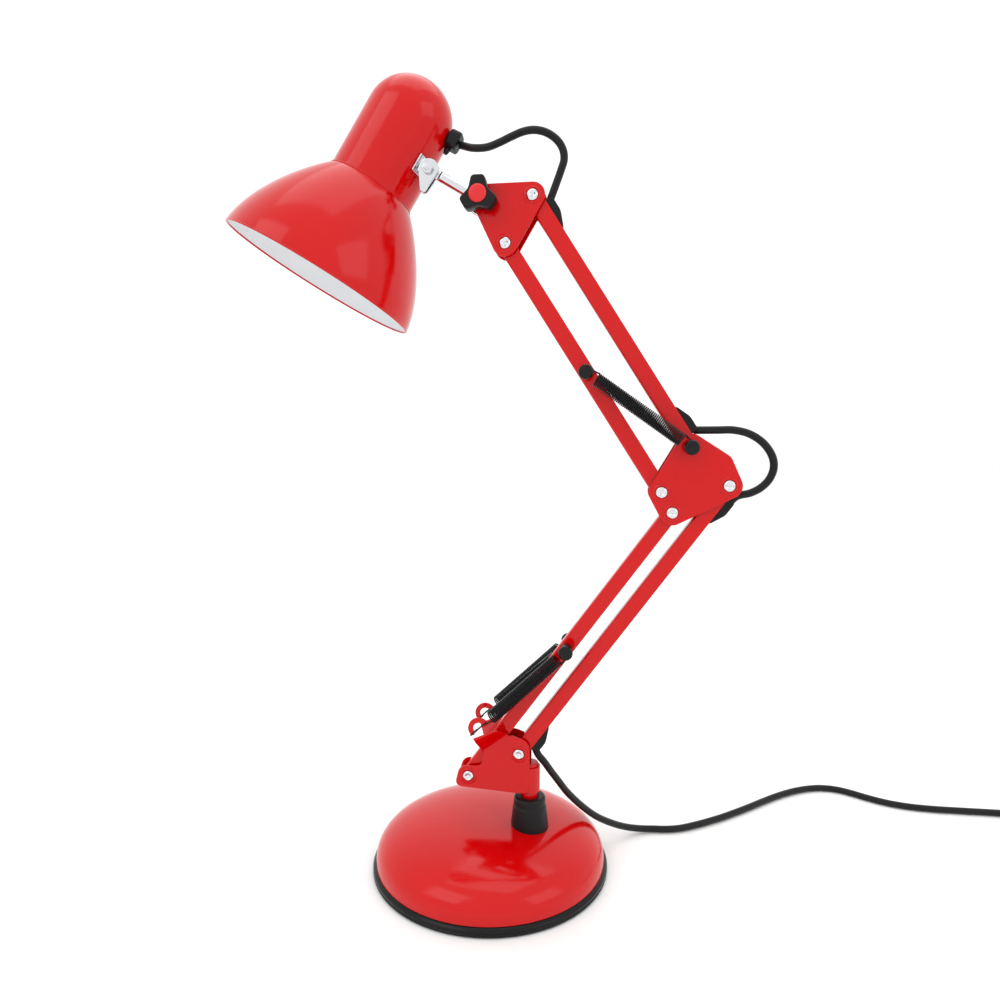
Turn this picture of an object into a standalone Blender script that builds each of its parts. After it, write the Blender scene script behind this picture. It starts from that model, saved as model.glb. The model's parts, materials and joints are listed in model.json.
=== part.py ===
"""Architect desk lamp: a weighted round base, two sprung parallelogram arms and a bell-shaped head.

Dimensions are in millimetres and are turned to metres as each solid is made. The origin is the centre
of the base's underside. +Z is up, +X runs along the arm plane and +Y is behind it.
"""

import math

import bmesh
import bpy
from mathutils import Matrix, Vector

MM = 0.001
WELD = 0.00001

# Base
BASE_RING_RADIUS = 90.0
BASE_RING_INNER = 81.5
BASE_RING_HEIGHT = 6.6
BASE_DOME_RADIUS = 87.5
BASE_DOME_TOP = 39.0
BASE_DOME_EXPONENT = 2.6
SHEET = 1.2
BALLAST_RADIUS = 76.0
BALLAST_TOP = 16.5
PAD_RADIUS = 81.0
PAD_TOP = 2.6

# Swivel post and its collar, off the base's centre
POST_X = 31.5
POST_Y = -9.0
POST_RADIUS = 6.25
POST_BOTTOM = 18.0
POST_TOP = 87.0
COLLAR_TOP = 61.0
COLLAR_TOP_RADIUS = 11.9
COLLAR_FOOT = 33.0
COLLAR_FOOT_RADIUS = 14.4
COLLAR_FLANGE_RADIUS = 17.5
COLLAR_FLANGE_Z = (23.0, 26.0)
RUN_GAP = 0.35

# Arm plane and pivots, as (x, z)
ARM_Y = POST_Y
A0 = (24.0, 95.5)
B0 = (-14.0, 76.3)
LOWER_LINK = (145.2, 200.9)
C0 = (142.6, 323.0)
D0 = (123.6, 291.4)
UPPER_LINK = (-110.1, 172.4)
A1 = (A0[0] + LOWER_LINK[0], A0[1] + LOWER_LINK[1])
B1 = (B0[0] + LOWER_LINK[0], B0[1] + LOWER_LINK[1])
C1 = (C0[0] + UPPER_LINK[0], C0[1] + UPPER_LINK[1])
D1 = (D0[0] + UPPER_LINK[0], D0[1] + UPPER_LINK[1])

# A turn that lays a turned piece's own axis along -Y
ALONG_Y = (-math.pi / 2, 0.0, 0.0)

# Links
LOWER_WIDTH = 10.5
UPPER_WIDTH = 11.5
LINK_DEPTH = 10.0
LINK_WALL = 1.1
PIVOT_HOLE = 2.5
SHANK = 2.1

# Plate pairs: inner face, outer face and head height, measured from the arm plane
PLATE_INNER = 6.6
PLATE_OUTER = 7.7
RIVET_SEAT = 8.05
RIVET_TOP = 9.3
RIVET_RADIUS = 3.9

# Heights of the bracket's wrap about the post
WRAP_HEIGHTS = (65.2, 84.5)

# Springs and pegs
SPRING_OFFSET = 15.0
SPRING_RADIUS = 5.0
WIRE_RADIUS = 0.55
PEG_NECK = 2.6
PEG_SLEEVE = 4.0
PEG_HEAD = 5.2
LOWER_PEG = (58.5, 176.6)
UPPER_PEG = (70.7, 374.2)
HOOK_CENTRE = (-4.5, 116.8)
HOOK_OUTER = 8.0
HOOK_INNER = 4.2

# Head bracket, knob and stem
KNOB = (-3.7, 494.6)
KNOB_HOLE = 2.8
KNOB_LOBE = 9.9
KNOB_SWELL = 2.9
KNOB_BACK = 9.0
KNOB_FRONT = 19.6
STEM_RADIUS = 3.5
STEM_EYE = 10.5
STEM_EYE_THICKNESS = 3.0
LUG_BOLT = (-41.7, 517.6)
LUG_EYE = 5.4
LUG_CHEEK = 7.4

# Head, along its own axis from the centre of the mouth
# It is tilted in the arm plane, then leans about the line through the lug's bolt square to that axis
HEAD_TILT = math.radians(29.7)
HEAD_LEAN = Matrix.Rotation(math.radians(-7.25), 3,
                            Vector((math.cos(HEAD_TILT), 0.0, -math.sin(HEAD_TILT))))
HEAD_TURN = (HEAD_LEAN @ Matrix.Rotation(HEAD_TILT, 3, "Y")).to_euler()
HEAD_Y = ARM_Y + 14.0
MOUTH = (-124.9, 445.2)
MOUTH_RADIUS = 73.1
NECK_RADIUS = 33.0
NECK_HEIGHT = 75.0
CAP_RADIUS = 32.0
CAP_STRAIGHT = 131.1
HEAD_SHEET = 0.9
LUG_TAIL = (-45.5, 504.6)
LUG_BACK = (-50.3, 522.3)
GROMMET_HEIGHT = 135.0
GROMMET_HOLE = 5.2

# Flex, and the clips that hold it beside the main links
FLEX_RADIUS = 2.7
FLEX_ACROSS = 8.2
CLIP_START = 7.0
CLIP_END = 31.0
CLIP_THICKNESS = 7.0
FLEX_START = CLIP_START - 2.8
CHANNEL_RADIUS = FLEX_RADIUS - 0.3
CHANNEL_END = 16.0
TUBE_GAP = 0.3

# Bulb and holder, as heights along the head's axis
BULB_RADIUS = 27.5
BULB_CENTRE = 54.0
BULB_NECK = 13.0
BULB_SHOULDER = 92.0
BULB_TOP = 116.0
HOLDER_RADIUS = 19.0
HOLDER_BOTTOM = 96.0
HOLDER_TOP = 136.0

# Far end of the mains lead: switch, coil and plug, which all lie on the table
LEAD_Y = 132.0
TABLE_GAP = 0.2
SWITCH_START = 438.0
SWITCH_LENGTH = 58.0
SWITCH_WIDTH = 24.0
SWITCH_SPLIT = 7.0
SWITCH_TOP = 16.0
SWITCH_X = SWITCH_START + SWITCH_LENGTH / 2
ROCKER_FLOOR = 11.8
COIL_MEAN = 30.0
COIL_PITCH = 2 * FLEX_RADIUS
COIL_HALF = 1.5 * COIL_PITCH + 0.1
COIL_TOP = TABLE_GAP + 2 * COIL_PITCH
COIL_CENTRE = (533.0, LEAD_Y - COIL_MEAN - COIL_PITCH)
PLUG_Y = COIL_CENTRE[1] - COIL_MEAN - COIL_PITCH
PLUG_BACK = COIL_CENTRE[0] - 44.0
PLUG_SIZE = (38.0, 26.0, 13.6)
PLUG_Z = 7.0
PIN_RADIUS = 2.0
PIN_LENGTH = 19.0
PIN_SPREAD = 9.4

PARTS = None
CUTTERS = None
FINISHES = {}
PLACES = {}


def clear_scene():
    """Removes whatever objects the scene holds."""
    for item in list(bpy.data.objects):
        bpy.data.objects.remove(item, do_unlink=True)


def collection(name):
    """Makes a collection under the scene's own."""
    made = bpy.data.collections.new(name)
    bpy.context.scene.collection.children.link(made)
    return made


def finish(name, colour, roughness, metallic=0.0, alpha=1.0):
    """Makes one Principled BSDF material."""
    made = bpy.data.materials.new(name)
    made.use_nodes = True
    shader = made.node_tree.nodes["Principled BSDF"]
    shader.inputs["Base Color"].default_value = (*colour, 1.0)
    shader.inputs["Roughness"].default_value = roughness
    shader.inputs["Metallic"].default_value = metallic
    shader.inputs["Alpha"].default_value = alpha
    FINISHES[name] = made


def make_finishes():
    """Makes every material of the lamp."""
    finish("red_enamel", (0.72, 0.005, 0.008), 0.16)
    finish("white_enamel", (0.86, 0.86, 0.84), 0.35)
    finish("chrome", (0.8, 0.8, 0.8), 0.08, 1.0)
    finish("black_plastic", (0.012, 0.012, 0.013), 0.35)
    finish("black_flex", (0.014, 0.014, 0.016), 0.4)
    finish("spring_steel", (0.03, 0.03, 0.032), 0.3, 0.9)
    finish("cast_iron", (0.12, 0.12, 0.12), 0.7, 0.8)
    finish("black_foam", (0.02, 0.02, 0.02), 0.9)
    finish("zinc_steel", (0.6, 0.6, 0.58), 0.35, 1.0)
    finish("opal_glass", (0.9, 0.9, 0.88), 0.2)
    finish("red_plastic", (0.75, 0.01, 0.02), 0.3)


def world(x, z, offset=0.0):
    """A point of the arm plane, moved behind it by offset, in metres."""
    return Vector((x * MM, (ARM_Y + offset) * MM, z * MM))


def publish(item, material, body):
    """Puts a finished object in the lamp's collection, on its body's empty."""
    for owner in list(item.users_collection):
        owner.objects.unlink(item)
    PARTS.objects.link(item)
    item.data.materials.clear()
    item.data.materials.append(FINISHES[material])
    item.parent = body
    item.matrix_parent_inverse = Matrix.Translation(-PLACES[body.name])
    return item


def pivot(name, place, parent=None):
    """An empty on a joint's axis, which carries the body's pieces."""
    made = bpy.data.objects.new(name, None)
    made.empty_display_size = 0.01
    made.location = place
    PLACES[name] = place
    if parent:
        made.parent = parent
        made.matrix_parent_inverse = Matrix.Translation(-PLACES[parent.name])
    PARTS.objects.link(made)
    return made


def cutter(item):
    """Files an object as a cutter or a helper that is never seen."""
    for owner in list(item.users_collection):
        owner.objects.unlink(item)
    CUTTERS.objects.link(item)
    item.hide_render = True
    item.display_type = "WIRE"
    return item


def boolean(item, other, operation):
    """Adds an exact Boolean with a cutter or helper."""
    change = item.modifiers.new(other.name, "BOOLEAN")
    change.operation = operation
    change.object = other
    change.solver = "EXACT"


def mesh_object(name, mesh):
    """Makes an object in the cutters' collection, to be published or kept as a cutter."""
    made = bpy.data.objects.new(name, mesh)
    CUTTERS.objects.link(made)
    return made


def arc(centre, radius, start, end, steps):
    """Points on an arc, with angles in degrees, both ends included."""
    angles = [math.radians(start + (end - start) * i / steps) for i in range(steps + 1)]
    return [(centre[0] + radius * math.cos(a), centre[1] + radius * math.sin(a)) for a in angles]


def circle(centre, radius, steps=16):
    """A closed ring of points."""
    return arc(centre, radius, 0.0, 360.0, steps)[:-1]


def rounded(corners, steps=5):
    """A closed outline through corners (x, z, radius), each rounded by an arc."""
    points = []
    for index, (x, z, radius) in enumerate(corners):
        here = Vector((x, z))
        before = Vector(corners[index - 1][:2]) - here
        after = Vector(corners[(index + 1) % len(corners)][:2]) - here
        half = before.angle(after) / 2
        reach = radius / math.tan(half)
        middle = here + (before.normalized() + after.normalized()).normalized() * radius / math.sin(half)
        start = here + before.normalized() * reach - middle
        turn = start.angle_signed(here + after.normalized() * reach - middle)
        for step in range(steps + 1):
            angle = -turn * step / steps
            spoke = Matrix.Rotation(angle, 2) @ start
            points.append(tuple(middle + spoke))
    return points


def capsule(start, end, radius, end_radius=None, steps=8):
    """The outline around two circles, one at each end of a straight line."""
    second = radius if end_radius is None else end_radius
    heading = math.degrees(math.atan2(end[1] - start[1], end[0] - start[0]))
    length = math.dist(start, end)
    lean = math.degrees(math.asin((radius - second) / length))
    first_arc = arc(start, radius, heading + 90 - lean, heading + 270 + lean, steps)
    return first_arc + arc(end, second, heading - 90 + lean, heading + 90 - lean, steps)


def flat_curve(name, outline, thickness, offset, holes=()):
    """A flat outline in the arm plane as a filled curve, given thickness and moved behind the plane."""
    data = bpy.data.curves.new(name, "CURVE")
    data.dimensions = "2D"
    data.fill_mode = "BOTH"
    data.extrude = thickness * MM / 2
    for ring in (outline, *holes):
        spline = data.splines.new("POLY")
        spline.points.add(len(ring) - 1)
        for point, (x, z) in zip(spline.points, ring):
            point.co = (x * MM, z * MM, 0.0, 1.0)
        spline.use_cyclic_u = True
    made = bpy.data.objects.new(name, data)
    made.rotation_euler = (math.pi / 2, 0.0, 0.0)
    made.location = (0.0, (ARM_Y + offset) * MM, 0.0)
    CUTTERS.objects.link(made)
    return made


def flat_plate(name, outline, thickness, offset, holes=()):
    """The same outline as a closed mesh, whose vertices are in world places."""
    flat = flat_curve(name + "_outline", outline, thickness, offset, holes)
    return curve_to_mesh(flat, name)


def slab(name, outline, low, high, place=(0.0, 0.0)):
    """A flat outline in (x, y) as a closed mesh between two heights."""
    data = bpy.data.curves.new(name + "_outline", "CURVE")
    data.dimensions = "2D"
    data.fill_mode = "BOTH"
    data.extrude = (high - low) * MM / 2
    spline = data.splines.new("POLY")
    spline.points.add(len(outline) - 1)
    for target, (x, y) in zip(spline.points, outline):
        target.co = (x * MM, y * MM, 0.0, 1.0)
    spline.use_cyclic_u = True
    flat = bpy.data.objects.new(name + "_outline", data)
    flat.location = (place[0] * MM, place[1] * MM, (low + high) * MM / 2)
    CUTTERS.objects.link(flat)
    return curve_to_mesh(flat, name)


def curve_to_mesh(item, name):
    """Turns a curve object into a closed mesh object."""
    bpy.context.view_layer.update()
    ready = item.evaluated_get(bpy.context.evaluated_depsgraph_get())
    mesh = bpy.data.meshes.new_from_object(ready)
    made = mesh_object(name, mesh)
    made.matrix_world = item.matrix_world.copy()
    shape = bmesh.new()
    shape.from_mesh(mesh)
    bmesh.ops.remove_doubles(shape, verts=shape.verts, dist=WELD / 10)
    bmesh.ops.recalc_face_normals(shape, faces=shape.faces)
    shape.to_mesh(mesh)
    shape.free()
    bpy.data.objects.remove(item)
    return made


def wire(name, points, radius, resolution=2):
    """A round wire or flex through points in metres, with closed ends."""
    data = bpy.data.curves.new(name, "CURVE")
    data.dimensions = "3D"
    data.bevel_depth = radius * MM
    data.bevel_resolution = resolution
    data.use_fill_caps = True
    spline = data.splines.new("POLY")
    spline.points.add(len(points) - 1)
    for target, point in zip(spline.points, points):
        target.co = (*point, 1.0)
    made = bpy.data.objects.new(name, data)
    CUTTERS.objects.link(made)
    return made


def turned(name, profile, place, turn=(0.0, 0.0, 0.0), steps=24, closed=False):
    """A turned piece: a profile of (radius, height) from top to bottom, spun about its own axis."""
    mesh = bpy.data.meshes.new(name)
    shape = bmesh.new()
    ring = [shape.verts.new((r * MM, 0.0, h * MM)) for r, h in profile]
    for a, b in zip(ring, ring[1:]):
        shape.edges.new((a, b))
    if closed:
        shape.edges.new((ring[-1], ring[0]))
    shape.to_mesh(mesh)
    shape.free()
    made = mesh_object(name, mesh)
    spin = made.modifiers.new("turn", "SCREW")
    spin.axis = "Z"
    spin.steps = steps
    spin.render_steps = steps
    spin.use_merge_vertices = True
    spin.merge_threshold = WELD
    made.location = place
    made.rotation_euler = turn
    return made


def cylinder(name, radius, length, place, turn=(0.0, 0.0, 0.0), sides=20):
    """A plain cylinder centred on place, along its own Z before it is turned."""
    mesh = bpy.data.meshes.new(name)
    shape = bmesh.new()
    bmesh.ops.create_cone(shape, cap_ends=True, segments=sides, radius1=radius * MM, radius2=radius * MM,
                          depth=length * MM)
    shape.to_mesh(mesh)
    shape.free()
    made = mesh_object(name, mesh)
    made.location = place
    made.rotation_euler = turn
    return made


def block(name, size, place, turn=(0.0, 0.0, 0.0)):
    """A plain box centred on place."""
    mesh = bpy.data.meshes.new(name)
    shape = bmesh.new()
    bmesh.ops.create_cube(shape, size=1.0, matrix=Matrix.Diagonal((*[s * MM for s in size], 1.0)))
    shape.to_mesh(mesh)
    shape.free()
    made = mesh_object(name, mesh)
    made.location = place
    made.rotation_euler = turn
    return made


def soften(item, angle=0.6):
    """Shades a mesh smooth with its sharper edges kept."""
    item.data.shade_smooth()
    item.data.set_sharp_from_angle(angle=angle)
    return item


def smooth_path(points, spacing):
    """Points in metres at an even spacing on a smooth curve through the given points, in millimetres."""
    knots = [Vector(p) for p in points]
    knots = [knots[0] * 2 - knots[1], *knots, knots[-1] * 2 - knots[-2]]
    fine = []
    for p0, p1, p2, p3 in zip(knots, knots[1:], knots[2:], knots[3:]):
        for step in range(16):
            t = step / 16
            fine.append(0.5 * (2 * p1 + (p2 - p0) * t + (2 * p0 - 5 * p1 + 4 * p2 - p3) * t * t
                               + (3 * p1 - p0 - 3 * p2 + p3) * t * t * t))
    fine.append(knots[-2])
    total = sum((b - a).length for a, b in zip(fine, fine[1:]))
    count = max(2, round(total / spacing))
    result = [fine[0]]
    walked = 0.0
    for a, b in zip(fine, fine[1:]):
        length = (b - a).length
        while len(result) < count and walked + length >= total * len(result) / count:
            result.append(a.lerp(b, (total * len(result) / count - walked) / length))
        walked += length
    result.append(fine[-1])
    return [p * MM for p in result]


# ---------------------------------------------------------------- base


def dome_height(radius):
    """Height of the base dome's outer face at a distance from the base's centre."""
    share = min(radius / BASE_DOME_RADIUS, 1.0)
    rise = BASE_DOME_TOP - BASE_RING_HEIGHT
    level = (1 - share ** BASE_DOME_EXPONENT) ** (1 / BASE_DOME_EXPONENT)
    return BASE_RING_HEIGHT + 0.3 + (rise - 0.3) * level


def base_shell(body):
    """The pressed dome, open below, with a hole for the collar."""
    rows = 8
    radii = [BASE_DOME_RADIUS * math.sin(math.pi / 2 * i / rows) for i in range(rows + 1)]
    profile = [(r, dome_height(r)) for r in radii]
    dome = turned("base_shell", profile, (0.0, 0.0, 0.0), steps=40)
    wall = dome.modifiers.new("sheet", "SOLIDIFY")
    wall.thickness = SHEET * MM
    wall.offset = -1.0
    hole = cutter(cylinder("collar_hole", COLLAR_FOOT_RADIUS + 0.3, 40.0,
                           (POST_X * MM, POST_Y * MM, 0.035), sides=24))
    boolean(dome, hole, "DIFFERENCE")
    publish(soften(dome), "red_enamel", body)


def base_ring(body):
    """The edge ring that the dome stands in, with a lip around the dome's foot."""
    outer, inner, top = BASE_RING_RADIUS, BASE_RING_INNER, BASE_RING_HEIGHT
    profile = [(outer - 1.6, top), (outer - 0.4, top - 1.2), (outer, top - 2.6), (outer, 1.4),
               (outer - 1.2, 0.0), (inner, 0.0), (inner, top - 1.4), (inner + 3.6, top)]
    ring = turned("base_ring", profile, (0.0, 0.0, 0.0), steps=40, closed=True)
    publish(soften(ring), "black_plastic", body)


def base_pad(body):
    """The soft pad under the base, on which the lamp stands."""
    pad = cylinder("base_pad", PAD_RADIUS, PAD_TOP, (0.0, 0.0, PAD_TOP * MM / 2), sides=40)
    publish(pad, "black_foam", body)


def base_ballast(body):
    """The cast weight inside the base, with a well under the post."""
    profile = [(0.0, BALLAST_TOP), (BALLAST_RADIUS - 12.0, BALLAST_TOP), (BALLAST_RADIUS, BALLAST_TOP - 7.0),
               (BALLAST_RADIUS, PAD_TOP + 0.4), (0.0, PAD_TOP + 0.4)]
    publish(turned("base_ballast", profile, (0.0, 0.0, 0.0), steps=28), "cast_iron", body)


def collar(body):
    """The tapered collar that the post turns in, with its flange under the sheet."""
    bore = POST_RADIUS + RUN_GAP
    low, high = COLLAR_FLANGE_Z
    profile = [(COLLAR_TOP_RADIUS - 1.0, COLLAR_TOP), (COLLAR_TOP_RADIUS, COLLAR_TOP - 1.0),
               (COLLAR_TOP_RADIUS + 0.3, COLLAR_TOP - 7.0), (COLLAR_FOOT_RADIUS - 0.4, COLLAR_FOOT + 6.0),
               (COLLAR_FOOT_RADIUS, COLLAR_FOOT), (COLLAR_FOOT_RADIUS, high), (COLLAR_FLANGE_RADIUS, high),
               (COLLAR_FLANGE_RADIUS, low), (bore, low), (bore, COLLAR_TOP)]
    place = (POST_X * MM, POST_Y * MM, 0.0)
    publish(soften(turned("collar", profile, place, steps=24, closed=True)), "black_plastic", body)


# ---------------------------------------------------------------- swivel


def post(body):
    """The upright tube that is welded into the bracket and turns in the collar."""
    profile = [(0.0, POST_TOP), (POST_RADIUS, POST_TOP), (POST_RADIUS, POST_BOTTOM), (0.0, POST_BOTTOM)]
    publish(soften(turned("swivel_post", profile, (POST_X * MM, POST_Y * MM, 0.0))), "red_enamel", body)


def post_clip(body):
    """The ring that keeps the post from being lifted out of the collar."""
    top, bottom = COLLAR_FLANGE_Z[0] - 0.4, COLLAR_FLANGE_Z[0] - 2.4
    bore = POST_RADIUS + 0.3
    profile = [(bore + 3.6, top), (bore + 3.6, bottom), (bore, bottom), (bore, top)]
    place = (POST_X * MM, POST_Y * MM, 0.0)
    publish(turned("post_clip", profile, place, steps=20, closed=True), "zinc_steel", body)


def bracket_side(side):
    """One side plate with its joggled tab and open hook. Side is -1 in front, 1 behind."""
    middle = (PLATE_INNER + PLATE_OUTER) / 2 * side
    thick = PLATE_OUTER - PLATE_INNER
    corners = [(-24.6, 67.8, 6.5), (POST_X + 0.6, 64.8, 1.5), (POST_X + 0.6, 105.0, 6.5), (16.2, 110.6, 2.0),
               (-3.2, 95.4, 1.5), (-3.4, 84.4, 7.0), (-20.6, 84.2, 6.5)]
    plate = flat_plate(f"bracket_plate_{side}", rounded(corners), thick, middle,
                       [circle(A0, PIVOT_HOLE), circle(B0, PIVOT_HOLE)])
    fold = [(15.6, 110.4), (-3.0, 95.2)]
    edge = [(8.4, 115.9), (-8.6, 108.6)]
    tab = bpy.data.meshes.new(f"bracket_tab_{side}")
    shape = bmesh.new()
    bmesh.ops.create_cube(shape, size=1.0)
    shape.verts.ensure_lookup_table()
    half = thick / 2
    rim = SPRING_OFFSET * side
    for vert in shape.verts:
        line, level = (fold, middle - side * 0.3) if vert.co.y * side < 0 else (edge, rim + side * 0.2)
        x, z = line[0] if vert.co.x > 0 else line[1]
        lift = half if vert.co.z > 0 else -half
        vert.co = world(x - 0.6 * lift, z + 0.8 * lift, level)
    bmesh.ops.recalc_face_normals(shape, faces=shape.faces)
    shape.to_mesh(tab)
    shape.free()
    joggle = mesh_object(f"bracket_tab_{side}", tab)
    hook_line = [(-8.7, 108.2), (8.6, 115.6)] + arc(HOOK_CENTRE, HOOK_OUTER, 5, 222, 14)
    hook_line += arc(HOOK_CENTRE, HOOK_INNER, 222, -50, 14) + [(-7.6, 111.6)]
    hook = flat_plate(f"bracket_hook_{side}", hook_line, thick, rim)
    return plate, joggle, hook


def base_bracket(body):
    """The folded sheet bracket: two side plates, a half round wrap about the post, and two hooks."""
    middle = (PLATE_INNER + PLATE_OUTER) / 2
    half = (PLATE_OUTER - PLATE_INNER) / 2
    outer = arc((0.0, 0.0), middle + half, -90, 90, 12)
    inner = arc((0.0, 0.0), middle - half, 90, -90, 12)
    low, high = WRAP_HEIGHTS
    bracket = slab("base_bracket", outer + inner, low, high, (POST_X, POST_Y))
    for side in (-1, 1):
        for piece in bracket_side(side):
            boolean(bracket, cutter(piece), "UNION")
    publish(bracket, "red_enamel", body)


def rivet(name, centre, body):
    """A tubular rivet right through a plate pair, with a dished head at each end."""
    top, seat = RIVET_TOP, RIVET_SEAT
    half = [(0.0, top - 0.6), (2.0, top), (RIVET_RADIUS, seat + 0.5), (RIVET_RADIUS, seat), (SHANK, seat)]
    profile = half + [(r, -h) for r, h in reversed(half)]
    publish(soften(turned(name, profile, world(*centre), ALONG_Y, steps=14)), "chrome", body)


# ---------------------------------------------------------------- arms


def link(name, start, end, width, body, extra_holes=()):
    """A channel-section link with rounded ends, open along its outer side, and its pivot holes."""
    bar = flat_plate(name, capsule(start, end, width / 2), LINK_DEPTH, 0.0)
    length = math.dist(start, end)
    angle = math.atan2(end[1] - start[1], end[0] - start[0])
    centre = ((start[0] + end[0]) / 2, (start[1] + end[1]) / 2)
    shift = LINK_WALL + 2.0
    side = (math.sin(angle), -math.cos(angle))
    trough = block(name + "_trough", (length + 3 * width, LINK_DEPTH - 2 * LINK_WALL, width + 4.0),
                   world(centre[0] + side[0] * shift, centre[1] + side[1] * shift), (0.0, -angle, 0.0))
    boolean(bar, cutter(trough), "DIFFERENCE")
    for index, spot in enumerate((start, end, *extra_holes)):
        bore = cylinder(f"{name}_bore_{index}", PIVOT_HOLE, 40.0, world(*spot), ALONG_Y, sides=16)
        boolean(bar, cutter(bore), "DIFFERENCE")
    publish(bar, "red_enamel", body)


def link_frame(start, end, along, across):
    """A point along a link from its start pivot, moved to its outer side."""
    length = math.dist(start, end)
    ex, ez = (end[0] - start[0]) / length, (end[1] - start[1]) / length
    return (start[0] + ex * along + ez * across, start[1] + ez * along - ex * across)


def flex_clip(name, start, end, width, side, body):
    """A black clip pressed into the link's open side, which guides the flex past the pivot at start.

    Side is 1 where the open side is on the right, seen from start to end, and -1 on the left.
    """
    near, far = side * (width / 2 - 1.4), side * (FLEX_ACROSS + FLEX_RADIUS + 0.3)
    corners = [(*link_frame(start, end, CLIP_START, near), 0.6),
               (*link_frame(start, end, CLIP_START, far), 1.2),
               (*link_frame(start, end, CLIP_END - 7.0, far), 3.0),
               (*link_frame(start, end, CLIP_END, near + side * 2.0), 1.0),
               (*link_frame(start, end, CLIP_END, near), 0.4)]
    clip = flat_plate(name, rounded(corners, 3), CLIP_THICKNESS, 0.0)
    publish(clip, "black_plastic", body)


def link_flex(name, start, end, body):
    """The straight stretch of flex that lies in a link's channel between its two clips."""
    length = math.dist(start, end)
    first = link_frame(start, end, CHANNEL_END, 0.6)
    last = link_frame(start, end, length - CHANNEL_END, 0.6)
    steps = 6
    points = [world(first[0] + (last[0] - first[0]) * i / steps, first[1] + (last[1] - first[1]) * i / steps)
              for i in range(steps + 1)]
    publish(wire(name, points, CHANNEL_RADIUS), "black_flex", body)


def peg(name, centre, bearing, both_ends, body):
    """A black peg: a shank through its hole, spacer sleeves and headed necks for the spring loops."""
    neck, head = SPRING_OFFSET - 1.6, SPRING_OFFSET + 1.6
    long_side = [(0.0, head + 2.8), (PEG_HEAD - 1.0, head + 2.8), (PEG_HEAD, head + 1.8), (PEG_HEAD, head),
                 (PEG_NECK, head), (PEG_NECK, neck), (PEG_SLEEVE, neck), (PEG_SLEEVE, bearing),
                 (SHANK, bearing)]
    short_side = [(0.0, bearing + 2.2), (PEG_SLEEVE, bearing + 2.0), (PEG_SLEEVE, bearing), (SHANK, bearing)]
    far_side = long_side if both_ends else short_side
    profile = far_side + [(r, -h) for r, h in reversed(long_side)]
    publish(soften(turned(name, profile, world(*centre), ALONG_Y, steps=14)), "black_plastic", body)


def spring(name, peg_centre, anchor, side, anchor_is_peg, body):
    """A tension spring's outer sleeve with its end wires, between a peg and an anchor."""
    first, last = Vector(peg_centre), Vector(anchor)
    heading = (last - first).normalized()
    length = (last - first).length
    lead, tail = 8.5, 8.5 if anchor_is_peg else 13.0
    middle = first + heading * (lead + (length - tail - lead) / 2)
    angle = math.atan2(heading.y, heading.x)
    sleeve = cylinder(name, SPRING_RADIUS, length - lead - tail, world(*middle, side * SPRING_OFFSET),
                      (0.0, math.pi / 2 - angle, 0.0), sides=16)
    ring = PEG_NECK + WIRE_RADIUS + 0.4
    ends = [(first, heading, lead)] + ([(last, -heading, tail)] if anchor_is_peg else [])
    for index, (centre, towards, reach) in enumerate(ends):
        base = math.degrees(math.atan2(towards.y, towards.x))
        across = Vector((-towards.y, towards.x)) * ring
        loop = [world(*(centre + towards * (reach + 1.0) + across), side * SPRING_OFFSET)]
        turn = arc(tuple(centre), ring, base + 90, base + 380, 16)
        loop += [world(x, z, side * SPRING_OFFSET) for x, z in turn]
        end_wire(f"{name}_loop_{index}", loop, sleeve)
    if not anchor_is_peg:
        plane = side * (SPRING_OFFSET + 1.6)
        straight = [world(*(last - heading * s), plane) for s in (tail + 1.0, tail / 2, 0.0)]
        end_wire(name + "_hook_wire", straight, sleeve)
    publish(sleeve, "spring_steel", body)


def end_wire(name, points, sleeve):
    """Joins a length of spring wire to the spring's sleeve."""
    boolean(sleeve, cutter(curve_to_mesh(wire(name + "_path", points, WIRE_RADIUS, 1), name)), "UNION")


def elbow_plate(name, side, body):
    """One of the two plates that join the arms at the elbow."""
    corners = [(139.5, 333.0, 7.0), (172.4, 318.5, 3.0), (178.0, 291.2, 7.0), (127.8, 266.4, 7.0),
               (112.6, 291.0, 7.0)]
    holes = [circle(spot, PIVOT_HOLE) for spot in (A1, B1, C0, D0)]
    middle = side * (PLATE_INNER + PLATE_OUTER) / 2
    publish(flat_plate(name, rounded(corners), PLATE_OUTER - PLATE_INNER, middle, holes), "red_enamel", body)


def head_plate(name, side, body):
    """One of the two triangular plates of the head bracket."""
    corners = [(-3.0, 504.2, 5.0), (45.6, 504.2, 8.5), (14.8, 445.0, 8.6), (-12.5, 498.6, 6.0)]
    holes = [circle(C1, PIVOT_HOLE), circle(D1, PIVOT_HOLE), circle(KNOB, KNOB_HOLE)]
    middle = side * (PLATE_INNER + PLATE_OUTER) / 2
    publish(flat_plate(name, rounded(corners), PLATE_OUTER - PLATE_INNER, middle, holes), "red_enamel", body)


# ---------------------------------------------------------------- knob and stem


def knob(body):
    """The three-lobed clamp knob and the round cap in its face."""
    lobes = []
    for step in range(48):
        angle = 2 * math.pi * step / 48
        reach = KNOB_LOBE + KNOB_SWELL * math.cos(3 * (angle - math.pi / 2))
        lobes.append((KNOB[0] + reach * math.cos(angle), KNOB[1] + reach * math.sin(angle)))
    depth = KNOB_FRONT - KNOB_BACK
    grip = flat_plate("knob", lobes, depth, -(KNOB_FRONT + KNOB_BACK) / 2, [circle(KNOB, KNOB_HOLE)])
    publish(grip, "black_plastic", body)
    profile = [(0.0, -KNOB_FRONT - 0.3), (6.2, -KNOB_FRONT - 0.3), (6.2, -KNOB_FRONT - 1.0),
               (5.2, -KNOB_FRONT - 1.7), (0.0, -KNOB_FRONT - 1.9)]
    publish(turned("knob_cap", profile, world(*KNOB), ALONG_Y), "red_plastic", body)


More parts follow.
